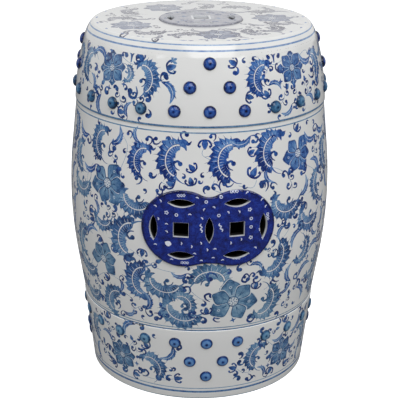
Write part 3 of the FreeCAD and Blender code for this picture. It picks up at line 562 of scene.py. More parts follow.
def glaze(name, white, blues, greys, roughness=0.1):
    """Clear gloss glaze over clay painted in cobalt. Pigment pools and thins under it."""
    material = new_material(name)
    place = add(material, "TexCoord")
    paint_depth = add(material, "Attribute", attribute_name="pigment")
    parts = add(material, "SeparateXYZ", [("Vector", paint_depth, "Vector")])
    pool = add(material, "TexNoise", [("Vector", place, "Object")],
               Scale=1 / (7 * MM), Detail=4.0, Roughness=0.6)
    bristle = add(material, "TexNoise", [("Vector", place, "Object")], Scale=1 / (1.6 * MM), Detail=2.0)
    pooled = remap(material, (pool, "Fac"), 0.3, 0.7, 0.72, 1.2)
    brushed = remap(material, (bristle, "Fac"), 0.3, 0.7, 0.85, 1.1)
    uneven = add(material, "Math", [(0, pooled, "Result"), (1, brushed, "Result")], operation="MULTIPLY")
    depth = add(material, "Math", [(0, parts, "X"), (1, uneven, "Value")],
                operation="MULTIPLY", use_clamp=True)
    ramps = []
    for colours in (blues, greys):
        ramp = add(material, "ValToRGB", [("Fac", depth, "Value")])
        set_ramp(ramp, [(k / len(colours), linear(colour)) for k, colour in enumerate((white, *colours))])
        ramps.append(ramp)
    # Inputs 6 and 7 and output 2 are the colours of this node.
    colour = add(material, "Mix", [(0, parts, "Y"), (6, ramps[0], "Color"), (7, ramps[1], "Color")],
                 data_type="RGBA")
    wave = add(material, "TexNoise", [("Vector", place, "Object")], Scale=1 / (28 * MM), Detail=2.0)
    dips = add(material, "Bump", [("Height", wave, "Fac")], Strength=0.25, Distance=0.8 * MM)
    shader = add(material, "BsdfPrincipled", [("Base Color", colour, 2), ("Normal", dips, "Normal")],
                 Roughness=roughness, IOR=1.5)
    add(material, "OutputMaterial", [("Surface", shader, "BSDF")])
    return material


WHITE = "#E5E5E3"
painted = glaze("cobalt painting under clear glaze", WHITE,
                ("#A9BFDA", "#5F8CC4", "#2F58A4", "#17296A"), ("#B3C6D0", "#7C9FB2", "#4A7390", "#26405F"))


def wear(coat, material):
    """Gives a coat its glaze and binds it to the stool."""
    coat.data.materials.append(material)
    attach(coat, "root")


def lines_round(surface, lines):
    """Painted lines right round a side, banded on the wheel: height, width, depth and grey."""
    laid = []
    across = np.linspace(SEAM - 1, SEAM + 361, COLUMNS + 1)
    for height, width, depth, grey in lines:
        middle = np.interp(height * MM, surface.heights, surface.way)
        half = width * MM / 2
        low = np.stack([across, np.full_like(across, middle - half)], 1)
        high = np.stack([across, np.full_like(across, middle + half)], 1)
        line = Stroke([(0, 0)], depth, grey=grey)
        laid.append((line, np.vstack([low, high[::-1]]), np.array([0.0, middle]), surface.radii.max()))
    return laid


def lay_out(surface, plan):
    """The strokes of a plan that the front and the back both carry."""
    laid = []
    for half in (0, 180):
        for name, angle, place, turn, size, flip, grey, strength in plan:
            laid += surface.on_side(motif(name, turn, size, flip, grey, strength), angle + half, place)
    return laid


FILLERS = (("spray", 1.25), ("sprig", 1.15), ("spray", 0.9), ("hook", 1.35), ("bud", 0.9),
           ("horns", 1.0), ("comma", 1.15), ("hook", 0.9), ("comma", 0.75))
# Places that step by these two shares of the ground spread evenly over it.
STEP_ROUND, STEP_UP = 0.7548777, 0.5698403
# The shares of its reach that a motif keeps clear: round one of the plan, round a
# filler, and beside a place that stays plain.
PLANNED, BETWEEN, BESIDE = 0.86, 0.74, 0.8


def fill_gaps(radius, low, high, plan, clear, grey, tries=900):
    """Small motifs in what a half's plan leaves plain, as a painter fills a ground.

    The ground has a radius and runs from a low to a high place, all in millimetres.
    clear(angle, height) gives the room in millimetres to a place that stays plain.
    """
    taken = [(angle, height, PLANNED * REACHES[name] * size) for name, angle, height, _, size, *_ in plan]
    added = []
    for name, size in FILLERS:
        reach = REACHES[name] * size
        for k in range(tries):
            angle = -90 + 180 * ((k + 1) * STEP_ROUND % 1.0)
            height = low + reach * 0.5 + (high - low - reach) * ((k + 1) * STEP_UP % 1.0)
            if clear(angle, height) < reach * BESIDE:
                continue
            room = min(math.hypot(((angle - a + 90) % 180 - 90) * math.radians(radius), height - h) - r
                       for a, h, r in taken)
            if room < BETWEEN * reach:
                continue
            taken.append((angle, height, reach))
            added.append((name, angle, height, (k * 137) % 360, size, k % 2 == 0, grey(angle, height), 1.0))
    return added


# The double coin is the same outline for the tile and for the cut-out that it fills: two
# circles side by side, with a hollow arc in the notch above and a wider one below.
COIN, APART = 47.8 * MM, 31.4 * MM
NOTCHES = ((1, 20.0 * MM), (-1, 60.0 * MM))
COIN_HEIGHT = 240.0 * MM
STEP = 1.5 * MM  # between the points of an arc


def arc(centre, radius, start, end):
    """Points along an arc from one angle to another, in degrees."""
    count = max(3, round(abs(math.radians(end - start)) * radius / STEP))
    turns = np.radians(np.linspace(start, end, count + 1))
    return np.array(centre) + radius * np.stack([np.cos(turns), np.sin(turns)], 1)


def double_coin(grown=0.0):
    """The double coin's outline about its middle, grown by a width."""
    tangents = {}
    for way, fill in NOTCHES:
        rise = math.sqrt((COIN + fill) ** 2 - APART**2)
        tangents[way] = (rise, fill - grown, math.degrees(math.atan2(rise, -APART)))
    top_rise, top_fill, top = tangents[1]
    low_rise, low_fill, low = tangents[-1]
    right = arc((APART, 0), COIN + grown, -low, top)
    notch = arc((0, top_rise), top_fill, top - 180, -top)
    left = arc((-APART, 0), COIN + grown, 180 - top, 180 + low)
    under = arc((0, -low_rise), low_fill, low, 180 - low)
    return np.vstack([right[:-1], notch[:-1], left[:-1], under[:-1]])


def within_coins(points):
    """How far points lie inside the double coin, and the way out of it."""
    inside = np.full(len(points), -1.0)
    out = np.zeros((len(points), 2))
    for side in (1, -1):
        away = points - (side * APART, 0.0)
        reach = np.linalg.norm(away, axis=1)
        better = COIN - reach > inside
        inside[better] = (COIN - reach)[better]
        out[better] = (away / np.maximum(reach, 1e-9)[:, None])[better]
    for way, fill in NOTCHES:
        away = points - (0.0, way * math.sqrt((COIN + fill) ** 2 - APART**2))
        reach = np.linalg.norm(away, axis=1)
        mine = (np.abs(away[:, 0]) / reach < APART / (COIN + fill)) & (points[:, 1] * way > 0)
        inside[mine] = (reach - fill)[mine]
        out[mine] = (-away / reach[:, None])[mine]
    return inside, out


class Raised:
    """The face of a raised piece, seen square on, with a rounded edge and a skirt down its side."""

    scale = (1.0, 1.0)
    mesh_step = 3 * MM
    edge_rows = (0.0, 0.12, 0.4, 0.8, 1.3, 1.9)  # millimetres in from the outline
    skirt_stop = 0.35 * MM  # how far above its ground the skirt ends

    def __init__(self, outline, within, relief, edge, stand):
        self.outline, self.within, self.relief, self.edge, self.stand = outline, within, relief, edge, stand

    def field(self):
        """The plan's points and the line round it."""
        rim = self.outline(1.0 * MM)
        points = [rim] + [self.outline(-inside * MM) for inside in self.edge_rows]
        reach = np.abs(rim).max()
        steps = np.arange(-reach, reach, self.mesh_step)
        grid = np.array([(x, y) for x in steps for y in steps])
        points.append(grid[self.within(grid)[0] > self.mesh_step])
        return np.vstack(points), list(range(len(rim)))

    def spread(self, laid):
        """The strokes in metres on the face."""
        for s in laid:
            yield s.outline * MM, s.depth, s.root * MM, s.reach * MM, s.grey, (1.0, 1.0)

    def place(self, plan, lift):
        """Points and normals for plan points: flat, then round the edge, then down the skirt."""
        inside, out = self.within(plan)
        level = np.full(len(plan), self.relief)
        points, normals, _ = self.stand(plan, out, level)
        points = points + lift * normals
        corner, upright, sideways = self.stand(plan + out * inside[:, None], out, level)
        meet = np.sum(upright * sideways, 1)[:, None]
        spread = np.arccos(meet)
        reach = self.edge * np.tan(spread / 2)
        turned = spread * np.clip(1 - inside[:, None] / (reach * np.sin(spread)), 0, 1)
        around = (np.sin(spread - turned) * upright + np.sin(turned) * sideways) / np.sin(spread)
        rim = corner - self.edge * (upright + sideways) / (1 + meet) + (self.edge + lift) * around
        wall = np.maximum((self.relief - self.skirt_stop) / np.sin(spread) - reach, 0)
        down = (upright - meet * sideways) / np.sin(spread)
        rim -= down * wall * np.clip(-inside[:, None] / MM, 0, 1)
        bent = turned[:, 0] > 0
        points[bent], normals[bent] = rim[bent], around[bent]
        return points, normals


# (motif, degrees from the front, height in mm, turn, size, flipped, grey, strength)
BARREL_PLAN = (
    ("hook", -35, 342, 40, 0.9, False, 0.1, 1.0),
    ("hook", -26, 338, 30, 1.0, False, 0.1, 1.0),
    ("hook", -20.5, 344, 60, 1.0, True, 0.1, 1.0),
    ("hook", -10, 346, -20, 1.1, True, 0.0, 1.0),
    ("bud", -2, 346, 180, 1.0, False, 0.0, 1.0),
    ("hook", 1.5, 346, 40, 0.9, False, 0.0, 1.0),
    ("hook", 31, 340, 100, 1.0, False, 0.0, 1.0),
    ("leaf", -30.5, 319, -8, 0.99, False, 0.1, 1.0),
    ("leaf", -16, 322, 0, 1.21, False, 0.1, 1.0),
    ("leaf", 6, 322, 0, 1.24, False, 0.0, 1.0),
    ("leaf", 26, 328, -6, 1.21, False, 0.1, 1.0),
    ("bud", -6.5, 312, 40, 0.9, False, 0.0, 1.0),
    ("bud", 17, 329, -60, 0.8, False, 0.0, 1.0),
    ("bud", 18, 302, -30, 1.15, False, 0.0, 1.0),
    ("lily", 42.5, 318, 0, 0.95, False, 0.2, 1.0),
    ("leaf", -52.5, 328, 0, 1.03, False, 0.5, 0.95),
    ("sprig", -44, 322, 10, 0.9, False, 0.4, 0.95),
    ("hook", -19.5, 296, -140, 1.0, False, 0.1, 1.0),
    ("hook", -20, 290, 130, 1.0, True, 0.1, 1.0),
    ("comma", -4.5, 298, -60, 0.7, False, 0.1, 0.95),
    ("horns", 4, 292, 20, 1.1, False, 0.1, 1.0),
    ("hook", 10, 296, 60, 1.0, True, 0.1, 1.0),
    ("horns", 36, 296, 10, 1.2, False, 0.2, 1.0),
    ("sprig", 37.5, 286, 20, 1.0, False, 0.2, 1.0),
    ("hook", 30, 286, 120, 1.0, False, 0.3, 1.0),
    ("lily", -46, 282, 10, 1.1, False, 0.65, 0.95),
    ("hook", -31, 289, 10, 1.1, False, 0.3, 1.0),
    ("leaf", -31, 264, 85, 1.13, False, 0.55, 0.95),
    ("sprig", -45, 247, 40, 0.9, False, 0.5, 0.95),
    ("small leaf", -48, 229, 100, 0.97, False, 0.6, 0.9),
    ("leaf", -37, 222, 160, 1.35, True, 0.5, 0.95),
    ("bud", -43, 196, -20, 0.7, False, 0.4, 0.9),
    ("star", -53, 197, 0, 1.3, False, 0.5, 0.9),
    ("fan", -50, 180, 160, 1.0, False, 0.75, 0.9),
    ("sprig", -25, 189, -50, 1.05, False, 0.3, 0.95),
    ("leaf", -31.5, 167, 165, 1.24, True, 0.4, 0.95),
    ("leaf", -47, 128, 145, 1.08, True, 0.65, 0.85),
    ("sprig", -33, 124, -60, 0.9, False, 0.4, 0.95),
    ("hook", -45, 113, 20, 1.0, False, 0.4, 0.95),
    ("leaf", -19, 160, 85, 1.19, False, 0.65, 0.9),
    ("leaf", 0, 178, -80, 1.19, False, 0.75, 0.85),
    ("small leaf", -9, 142, 30, 0.97, True, 0.7, 0.85),
    ("leaf", -12, 122, 75, 1.24, False, 0.65, 0.85),
    ("hook", -8, 154, 60, 1.1, False, 0.3, 1.0),
    ("hook", -24.5, 121, 200, 1.1, True, 0.2, 1.0),
    ("sprig", -20.5, 125, 20, 0.8, False, 0.2, 1.0),
    ("comma", -2, 137, 15, 1.0, False, 0.2, 1.0),
    ("hook", 1, 143, -20, 1.2, True, 0.2, 1.0),
    ("hook", -4, 121, 30, 1.2, True, 0.2, 1.0),
    ("hook", 3, 119, -30, 0.9, False, 0.2, 1.0),
    ("hook", 6, 113, 10, 1.0, True, 0.2, 1.0),
    ("star", 12, 114, 20, 1.1, False, 0.4, 0.9),
    ("hook", 4, 176, 110, 1.35, False, 0.2, 1.0),
    ("comma", 9, 181, 40, 0.9, False, 0.2, 1.0),
    ("star", 5.5, 157, 15, 1.3, False, 0.3, 0.95),
    ("lily", 11.5, 141, 165, 1.2, False, 0.8, 0.9),
    ("hook", 17, 178, 200, 1.2, False, 0.2, 1.0),
    ("horns", 18, 173, 0, 1.0, False, 0.2, 1.0),
    ("hook", 24, 168, 60, 1.1, True, 0.2, 1.0),
    ("hook", 34, 158, 10, 1.3, True, 0.2, 1.0),
    ("leaf", 29.5, 132, 165, 1.19, False, 0.75, 0.85),
    ("hook", 23, 116, 90, 1.2, True, 0.2, 1.0),
    ("sprig", 41, 122, -10, 0.85, False, 0.4, 0.9),
    ("sprig", 47, 142, 20, 0.85, False, 0.4, 0.9),
    ("leaf", 32, 191, 160, 1.24, False, 0.5, 0.95),
    ("sprig", 27, 202, 60, 0.7, False, 0.5, 0.9),
    ("small leaf", 49, 190, 165, 1.08, False, 0.55, 0.9),
    ("leaf", 35, 256, 85, 1.13, False, 0.45, 0.95),
    ("comma", 34, 236, -100, 1.0, False, 0.4, 0.9),
    ("leaf", 50, 229, 80, 1.08, False, 0.45, 0.9),
    ("small leaf", 55, 268, 10, 1.19, False, 0.5, 0.9),
    ("sprig", 56, 318, 0, 0.9, False, 0.4, 0.9),
    ("leaf", -64, 266, 100, 1.03, False, 0.7, 0.8),
    ("leaf", -68, 300, 20, 0.97, False, 0.6, 0.85),
    ("sprig", -62, 232, 20, 0.9, False, 0.6, 0.85),
    ("leaf", -66, 196, 150, 1.08, True, 0.7, 0.8),
    ("leaf", -64, 158, 80, 1.03, False, 0.7, 0.8),
    ("sprig", -58, 140, 0, 0.8, False, 0.6, 0.85),
    ("leaf", -63, 120, 100, 0.86, False, 0.7, 0.8),
    ("leaf", 66, 300, 10, 1.08, False, 0.5, 0.9),
    ("leaf", 62, 158, 160, 1.08, False, 0.6, 0.85),
    ("sprig", 62, 200, 30, 0.9, False, 0.5, 0.9),
    ("leaf", 66, 124, 60, 0.97, False, 0.6, 0.85),
    ("open blossom", 90, 290, 0, 0.95, False, 0.5, 0.95),
    ("daisy", 90, 225, 10, 1.1, False, 0.6, 0.95),
    ("open blossom", 90, 150, 20, 0.95, False, 0.6, 0.9),
    ("sprig", 80, 256, 40, 0.9, False, 0.4, 0.95),
    ("sprig", 100, 256, -40, 0.9, True, 0.4, 0.95),
    ("leaf", 76, 330, 10, 0.92, False, 0.4, 0.9),
    ("leaf", 104, 330, -10, 0.92, True, 0.4, 0.9),
    ("sprig", 76, 186, 60, 0.9, False, 0.4, 0.95),
    ("sprig", 104, 186, -60, 0.9, True, 0.4, 0.95),
    ("leaf", 78, 124, 80, 0.86, False, 0.6, 0.9),
    ("leaf", 103, 124, 80, 0.86, True, 0.6, 0.9),
)
# Thin grey stems that the scrolls hang on, each a line of (degrees, height) points.
BARREL_STEMS = (
    ((-39, 345), (-36, 330), (-40, 300), (-46, 296)),
    ((-20, 296), (-14, 286), (-13, 270)),
    ((-2, 340), (-3, 330), (2, 322)),
    ((2, 300), (1, 290), (6, 284)),
    ((12, 292), (18, 288), (20, 296)),
    ((34, 300), (28, 308), (22, 304)),
    ((36, 242), (37, 228), (33, 214)),
    ((-45, 262), (-38, 240), (-36, 226), (-44, 206)),
    ((-34, 205), (-28, 196), (-22, 186), (-14, 182)),
    ((-38, 150), (-42, 158), (-50, 160), (-56, 150)),
    ((-8, 160), (-2, 146), (6, 150), (14, 158)),
    ((22, 190), (24, 176), (30, 160), (26, 150)),
    ((16, 150), (20, 160), (24, 166)),
    ((-56, 178), (-60, 164), (-55, 146)),
    ((52, 220), (56, 200), (58, 186), (54, 172)),
    ((48, 300), (54, 290), (56, 280)),
    ((-56, 300), (-60, 280), (-58, 258)),
)


def stems(surface, lines, width=0.5, depth=0.55, grey=0.5):
    """Thin curved stems through plan points."""
    laid = []
    for half in (0, 180):
        for line in lines:
            points = catmull(line, 6)
            middle = points[len(points) // 2]
            radius = np.interp(middle[1] * MM, surface.heights, surface.radii) / MM
            round_mm = np.stack([np.radians(points[:, 0] - middle[0]) * radius, points[:, 1] - middle[1]], 1)
            stem = Stroke(ribbon(round_mm, [width]), depth, grey=grey)
            laid += surface.on_side([stem], middle[0] + half, middle[1])
    return laid


barrel_side = Turned(side_of("barrel"))
cut_outs = []
UNDER_PAD = 1.2 * MM  # how far the coat runs on under the edge of a tile
for half in (0, 180):
    edge = double_coin(-UNDER_PAD)
    height = COIN_HEIGHT + edge[:, 1]
    radius = np.interp(height, barrel_side.heights, barrel_side.radii)
    cut_outs.append(np.stack([np.degrees(np.arcsin(edge[:, 0] / radius)) + half,
                              np.interp(height, barrel_side.heights, barrel_side.way)], 1))


BELLY = 166.0  # millimetres, about the barrel's widest radius


def beside_coins(angle, height):
    """The way from a place on the barrel to the double coin, in millimetres."""
    across = BELLY * MM * math.sin(math.radians(angle))
    inside, _ = within_coins(np.array([[across, height * MM - COIN_HEIGHT]]))
    return -inside[0] / MM if abs(angle) < 60 else 100.0


UPPER_ROW = 285  # millimetres, where the upper row of leaves begins


def barrel_wash(angle, height):
    """The share of grey in the pigment: the upper row is nearly pure cobalt."""
    return 0.15 if height > UPPER_ROW else 0.3


BARREL_GROUND = (165, 108, 353)
BARREL_LINES = ((355.5, 1.5, 0.62, 0.7), (104.5, 1.2, 0.6, 0.8), (100.9, 1.8, 0.75, 0.7))
fillers = fill_gaps(*BARREL_GROUND, BARREL_PLAN, beside_coins, barrel_wash)
laid = stems(barrel_side, BARREL_STEMS) + lay_out(barrel_side, BARREL_PLAN) + lay_out(barrel_side, fillers)
laid += lines_round(barrel_side, BARREL_LINES)
# The coat is kept as a front and a back, because one mesh would be too heavy to handle.
positions, normals, triangles, pigment = brush(barrel_side, laid, cut_outs)
behind = positions[triangles].mean(1)[:, 1] > 0
for name, mine in (("barrel_glaze_front", ~behind), ("barrel_glaze_back", behind)):
    wear(paint(name, positions, normals, triangles[mine], pigment[mine]), painted)

# Tiles: a pierced double coin of the same clay is luted over each cut-out. It is dipped
# in deep cobalt, with small florets, rings and dashes reserved in white, and the
# pigment lies deeper on the rounded edge and down its side.

TILE_RELIEF, TILE_EDGE = 3.0 * MM, 1.8 * MM  # how far it stands proud, and its rounding
TILE_GLOSS = 0.2 * MM  # the thicker coat that it is dipped in


def on_barrel(facing):
    """How the face of a tile stands on the barrel, 1 for the front and -1 for the back."""
    def stand(flat, out, rise):
        """Points, their normals and the way out, for flat points at a rise off the wall."""
        height = COIN_HEIGHT + flat[:, 1]
        lean_out = np.interp(height, barrel_side.heights, barrel_side.out[:, 0])
        lean_up = np.interp(height, barrel_side.heights, barrel_side.out[:, 1])
        radius = np.interp(height, barrel_side.heights, barrel_side.radii) + rise / lean_out
        across = flat[:, 0] / radius
        ahead = np.sqrt(1 - across**2)
        points = np.stack([facing * flat[:, 0], -facing * radius * ahead, height], 1)
        upright = np.stack([facing * across * lean_out, -facing * ahead * lean_out, lean_up], 1)
        sideways = np.stack([facing * out[:, 0], np.zeros(len(out)), out[:, 1]], 1)
        return points, upright, sideways
    return stand


def square_hole(size):
    """The outline of a square, with points along its sides that can bend with a wall."""
    half = size * MM / 2
    side = np.linspace(-half, half, 9)[:-1]
    full = np.full(8, half)
    return np.vstack([np.stack([side, -full], 1), np.stack([full, side], 1),
                      np.stack([-side, full], 1), np.stack([-full, -side], 1)])


LENS_LENGTH, LENS_WIDTH, SQUARE = 32.0, 10.0, 18.0
CLEAR = 0.5  # the width of white left round a hole


def lens_hole(upright):
    """The outline of a lens whose points are up and down, or left and right."""
    reach, half = (LENS_LENGTH + CLEAR) * MM / 2, (LENS_WIDTH + CLEAR) * MM / 2
    radius = (reach**2 + half**2) / (2 * half)
    turn = math.degrees(math.asin(reach / radius))
    low = arc((0, radius - half), radius, 270 - turn, 270 + turn)
    high = arc((0, half - radius), radius, 90 - turn, 90 + turn)
    outline = np.vstack([low[:-1], high[:-1]])
    return outline[:, ::-1] if upright else outline


def through_wall(outline, rise, angle):
    """A hole cut square to the wall at an angle, as the front sees it."""
    turn = math.radians(angle)
    height = COIN_HEIGHT + rise * MM + outline[:, 1]
    outer = np.interp(height, barrel_side.heights, barrel_side.radii) + TILE_RELIEF
    across = outline[:, 0] * math.cos(turn) + np.sqrt(outer**2 - outline[:, 0]**2) * math.sin(turn)
    return np.stack([across, outline[:, 1] + rise * MM], 1)


COIN_TURN = 11.35  # the degrees between the tile's middle and one coin's
LENS_RISE = 32.8
tile_holes = [through_wall(lens_hole(True), 0, 0)]
for side in (1, -1):
    tile_holes.append(through_wall(square_hole(SQUARE + CLEAR), 0, side * COIN_TURN))
    tile_holes.append(through_wall(lens_hole(True), 0, 2 * side * COIN_TURN))
    for rise in (LENS_RISE, -LENS_RISE):
        tile_holes.append(through_wall(lens_hole(False), rise, side * COIN_TURN))

RESERVED = 0.1  # the trace of pigment in a white mark


def floret(size=2.8):
    """Five round petals."""
    spots = [ring_points((size * 0.6 * math.cos(a), size * 0.6 * math.sin(a)), size * 0.34, 7)
             for a in np.arange(5) * 2 * math.pi / 5]
    return [Stroke(spot, RESERVED) for spot in spots]


def ringlet(size=2.1):
    """A small ring round a blue eye."""
    return [Stroke(ring_points((0, 0), size, 12), RESERVED), Stroke(ring_points((0, 0), 0.5 * size, 8), 0.9)]


def dash(length=3.6, width=1.6):
    """A short bent mark."""
    return [Stroke(ribbon(catmull([(-length / 2, 0), (0, 0.25 * length), (length / 2, 0)], 4),
                          [0.4 * width, width, 0.5 * width]), RESERVED)]


def squiggle(length=11.0):
    """A long wavy mark."""
    path = catmull([(-0.5 * length, 0.4), (-0.3 * length, -1.0), (-0.1 * length, 1.0), (0.1 * length, -1.0),
                    (0.3 * length, 1.0), (0.5 * length, -0.4)], 5)
    return [Stroke(ribbon(path, [0.8, 1.7, 1.3, 1.8, 1.0]), RESERVED)]


PATCH = ((-3.4, 2.2), (1.5, 3.2), (3.8, -0.5), (0.5, -3.4), (-2.8, -1.6))
MARKS = {"floret": floret(), "ringlet": ringlet(), "dash": dash(), "squiggle": squiggle(),
         "flat floret": [s.moved((3.2 * k, 0), size=0.75) for k in (-1, 0, 1) for s in floret()],
         "patch": [Stroke(catmull(PATCH, 4, True), 0.04)]}
# (mark, across and up from the tile's middle in mm, turn)
TILE_PLAN = (
    ("floret", -50, 20.5, 0), ("dash", -63, 27, 30), ("dash", -57, 34, 60), ("flat floret", -33, 42.5, -6),
    ("dash", -14.5, 40, 20), ("ringlet", -4, 35.5, 0), ("dash", -6, 26, -60), ("ringlet", -38.5, 18.5, 0),
    ("dash", -23, 19.5, 0), ("dash", -50, 6, 0), ("dash", -50, -3.5, 40), ("squiggle", -9.5, 3, 85),
    ("dash", -9, 15, 50), ("squiggle", 13.5, 3.5, 70), ("ringlet", 11, 18.5, 0), ("dash", 5, 28.5, 30),
    ("ringlet", 13.5, 41, 0), ("flat floret", 29, 46.5, 0), ("dash", 44.5, 43.5, -30), ("floret", 48, 23, 0),
    ("dash", 22, 21.5, 50), ("dash", 35, 21.5, 60), ("ringlet", 50, 11.5, 0), ("ringlet", 50, 1, 0),
    ("floret", 50, -12.5, 30), ("dash", 63, 33, -40), ("flat floret", 70.5, 11, 85), ("dash", 68, 24, -60),
    ("dash", 64, -16, 60), ("dash", 38, -13.5, 90), ("dash", 25.5, -17, 90), ("dash", 7, -24, 0),
    ("dash", -2.5, -24.5, 80), ("dash", -10, -16, 70), ("dash", -21, -20.5, 90), ("dash", -33, -17, 90),
    ("patch", -48, -18.5, 0), ("dash", -63, -21.5, 0), ("dash", -67, -12.5, 0), ("dash", -44, -39, 0),
    ("flat floret", -28.5, -42, 0), ("dash", -9, -39, 0), ("dash", 5, -35.5, 0), ("dash", 16.5, -39, -10),
    ("flat floret", 33, -37.5, 4), ("dash", 47, -33, 30), ("dash", 56, -27, 40), ("dash", -60, 12, 80),
    ("dash", 60, -4, 80), ("dash", -17, -30, 10),
)
# The walls of the holes are white where the glaze ran over their lip, and darker deeper in
# as painted shade: the eye sees a thin white edge round a black hole. The lip lies on
# the barrel's bulge, or at the height of the seat.
BULGE, BULGE_HEIGHT = 1.4, 0.235
LIP, SEAT_LIP = (165.4 * MM, 167.2 * MM), (454 * MM, 457 * MM)
lip_and_hole_shade = new_material("white lip and painted shade inside a pierced hole")
place = add(lip_and_hole_shade, "TexCoord")
parts = add(lip_and_hole_shade, "SeparateXYZ", [("Vector", place, "Object")])
level = add(lip_and_hole_shade, "CombineXYZ", [("X", parts, "X"), ("Y", parts, "Y")])
reach = add(lip_and_hole_shade, "VectorMath", [(0, level, "Vector")], operation="LENGTH")
rise = add(lip_and_hole_shade, "Math", [(0, parts, "Z"), (1, BULGE_HEIGHT)], operation="SUBTRACT")
bulge = add(lip_and_hole_shade, "Math", [(0, rise, "Value"), (1, rise, "Value")], operation="MULTIPLY")
swell = add(lip_and_hole_shade, "Math", [(0, bulge, "Value"), (1, BULGE)], operation="MULTIPLY")
outer = add(lip_and_hole_shade, "Math", [(0, reach, "Value"), (1, swell, "Value")], operation="ADD")
lip = remap(lip_and_hole_shade, (outer, "Value"), *LIP)
top = remap(lip_and_hole_shade, (parts, "Z"), *SEAT_LIP)
either = add(lip_and_hole_shade, "Math", [(0, lip, "Result"), (1, top, "Result")], operation="MAXIMUM", use_clamp=True)
# This ramp paints shade: dark deep in a hole, white at its lip.
tone = add(lip_and_hole_shade, "ValToRGB", [("Fac", either, "Value")])
set_ramp(tone, [(0.0, linear("#1E1D1C")), (1.0, linear("#E0E2E6"))])
shader = add(lip_and_hole_shade, "BsdfPrincipled", [("Base Color", tone, "Color")], Roughness=0.3, IOR=1.5)
add(lip_and_hole_shade, "OutputMaterial", [("Surface", shader, "BSDF")])
dress(("seat_coin", "front_coin_tile", "back_coin_tile"), lip_and_hole_shade)
GROUND = ("#F0F2F7", "#6C88CC", "#1C3CA0", "#0E2278", "#060E3C")
cobalt = glaze("white marks reserved in cobalt glaze", GROUND[0], GROUND[1:], GROUND[1:])
for place, facing in (("front", 1), ("back", -1)):
    tile_face = Raised(double_coin, within_coins, TILE_RELIEF, TILE_EDGE, on_barrel(facing))
    ground = [Stroke(double_coin(2 * MM) / MM, 0.95), Stroke(double_coin(-2.5 * MM) / MM, 0.8)]
    for mark, across, up, turn in TILE_PLAN:
        ground += [s.moved((across, up), -turn) for s in MARKS[mark]]
    coat = paint(f"{place}_tile_glaze", *brush(tile_face, ground, tile_holes, TILE_GLOSS))
    wear(coat, cobalt)

# Upper band: the turned shoulder is luted above the barrel and painted like it. Two
# blossoms and their scrolled leaves face each other across a plain field that is kept
# for the studs, on the front and on the back.

UPPER_PLAN = (
    ("open blossom", -47.5, 420, 10, 0.82, False, 0.55, 0.95),
    ("open blossom", 41.5, 421, 0, 0.82, False, 0.35, 1.0),
    ("leaf", -27.5, 414, 5, 1.0, True, 0.45, 0.9),
    ("leaf", 22, 415, -5, 1.0, False, 0.15, 0.95),
    ("small leaf", -37, 418, 190, 0.6, False, 0.6, 0.8),
    ("bud", -18.5, 428, -70, 1.0, False, 0.3, 0.95),
    ("trefoil", -17, 436, -60, 1.1, False, 0.5, 0.8),
    ("bud", 11.5, 433, 60, 0.9, False, 0.1, 1.0),
    ("comma", 11, 422, 0, 1.1, False, 0.0, 1.0),
    ("sprig", 27, 424, 150, 0.8, False, 0.1, 1.0),
    ("horns", -37, 436, 0, 1.3, False, 0.4, 0.95),
    ("horns", 31, 436, 0, 1.2, False, 0.1, 1.0),
    ("leaf", -67, 415, 0, 0.95, False, 0.6, 0.85),
    ("leaf", 62, 415, 0, 0.95, True, 0.4, 0.85),
    ("star", -50, 439, 0, 0.9, False, 0.3, 0.95),
    ("star", -39.5, 404, 0, 1.0, False, 0.3, 0.95),
    ("star", -48, 396, 0, 1.1, False, 0.2, 0.95),
    ("star", -57, 405, 0, 1.0, False, 0.3, 0.95),
    ("star", 33.5, 408, 0, 1.0, False, 0.2, 1.0),
    ("star", 50, 404, 0, 1.0, False, 0.2, 1.0),
    ("sprig", -55, 392, -30, 0.95, False, 0.4, 0.95),
    ("sprig", -41, 388, 20, 0.95, True, 0.4, 0.95),
    ("sprig", -33, 390, 60, 0.9, False, 0.4, 0.9),
    ("sprig", 35, 391, -20, 0.9, False, 0.2, 1.0),
    ("sprig", 43, 390, 10, 0.9, True, 0.2, 1.0),
    ("sprig", 51, 394, 30, 0.9, False, 0.2, 1.0),
    ("hook", -33, 404, 120, 1.5, True, 0.3, 0.95),
    ("small leaf", 78, 418, 170, 0.9, False, 0.5, 0.85),
    ("small leaf", 102, 418, 10, 0.9, True, 0.5, 0.85),
    ("sprig", 72, 396, 20, 0.9, False, 0.4, 0.9),
    ("sprig", 108, 396, -20, 0.9, True, 0.4, 0.9),
)
UPPER_STEMS = (
    ((-42, 434), (-36, 428), (-30, 432), (-24, 424)),
    ((36, 432), (31, 428), (26, 432), (20, 424)),
    ((-58, 424), (-62, 432), (-66, 426)),
    ((48, 432), (54, 436), (58, 426)),
    ((-22, 412), (-18, 420), (-15, 430)),
)
upper_side = Turned(side_of("upper_band"))
# The height of the ring of studs, the height and spread of a cluster's pair, its tip.
UPPER_STUDS = (380.0, 407.5, 8.6, 434.0)
PITCH = 15.0  # degrees between the studs of a ring
DEGREE = 2.7  # millimetres along a band for one degree
WIDE_FIELD, NARROW_FIELD = 24.0, 14.0  # degrees left plain beside a cluster, at its ring and away
RING_ROOM, STUD_ROOM = 16, 7.0  # millimetres kept beside the ring, and round each stud


def beside_studs(angle, height, ring, pair, spread, tip):
    """The way from a place on a band to the nearest stud or to the plain field of its cluster."""
    quarter = (angle + 45) % 90 - 45
    ways = [math.hypot(((angle + PITCH / 2) % PITCH - PITCH / 2) * DEGREE, height - ring)]
    ways.append(math.hypot(quarter * DEGREE, height - tip))
    ways += [math.hypot((quarter - side) * DEGREE, height - pair) for side in (-spread, spread)]
    plain = WIDE_FIELD if abs(height - ring) < RING_ROOM else NARROW_FIELD
    return min(min(ways) - STUD_ROOM, (abs(quarter) - plain) * DEGREE)


def beside_upper(angle, height):
    """The room beside the studs of the upper band."""
    return beside_studs(angle, height, *UPPER_STUDS)


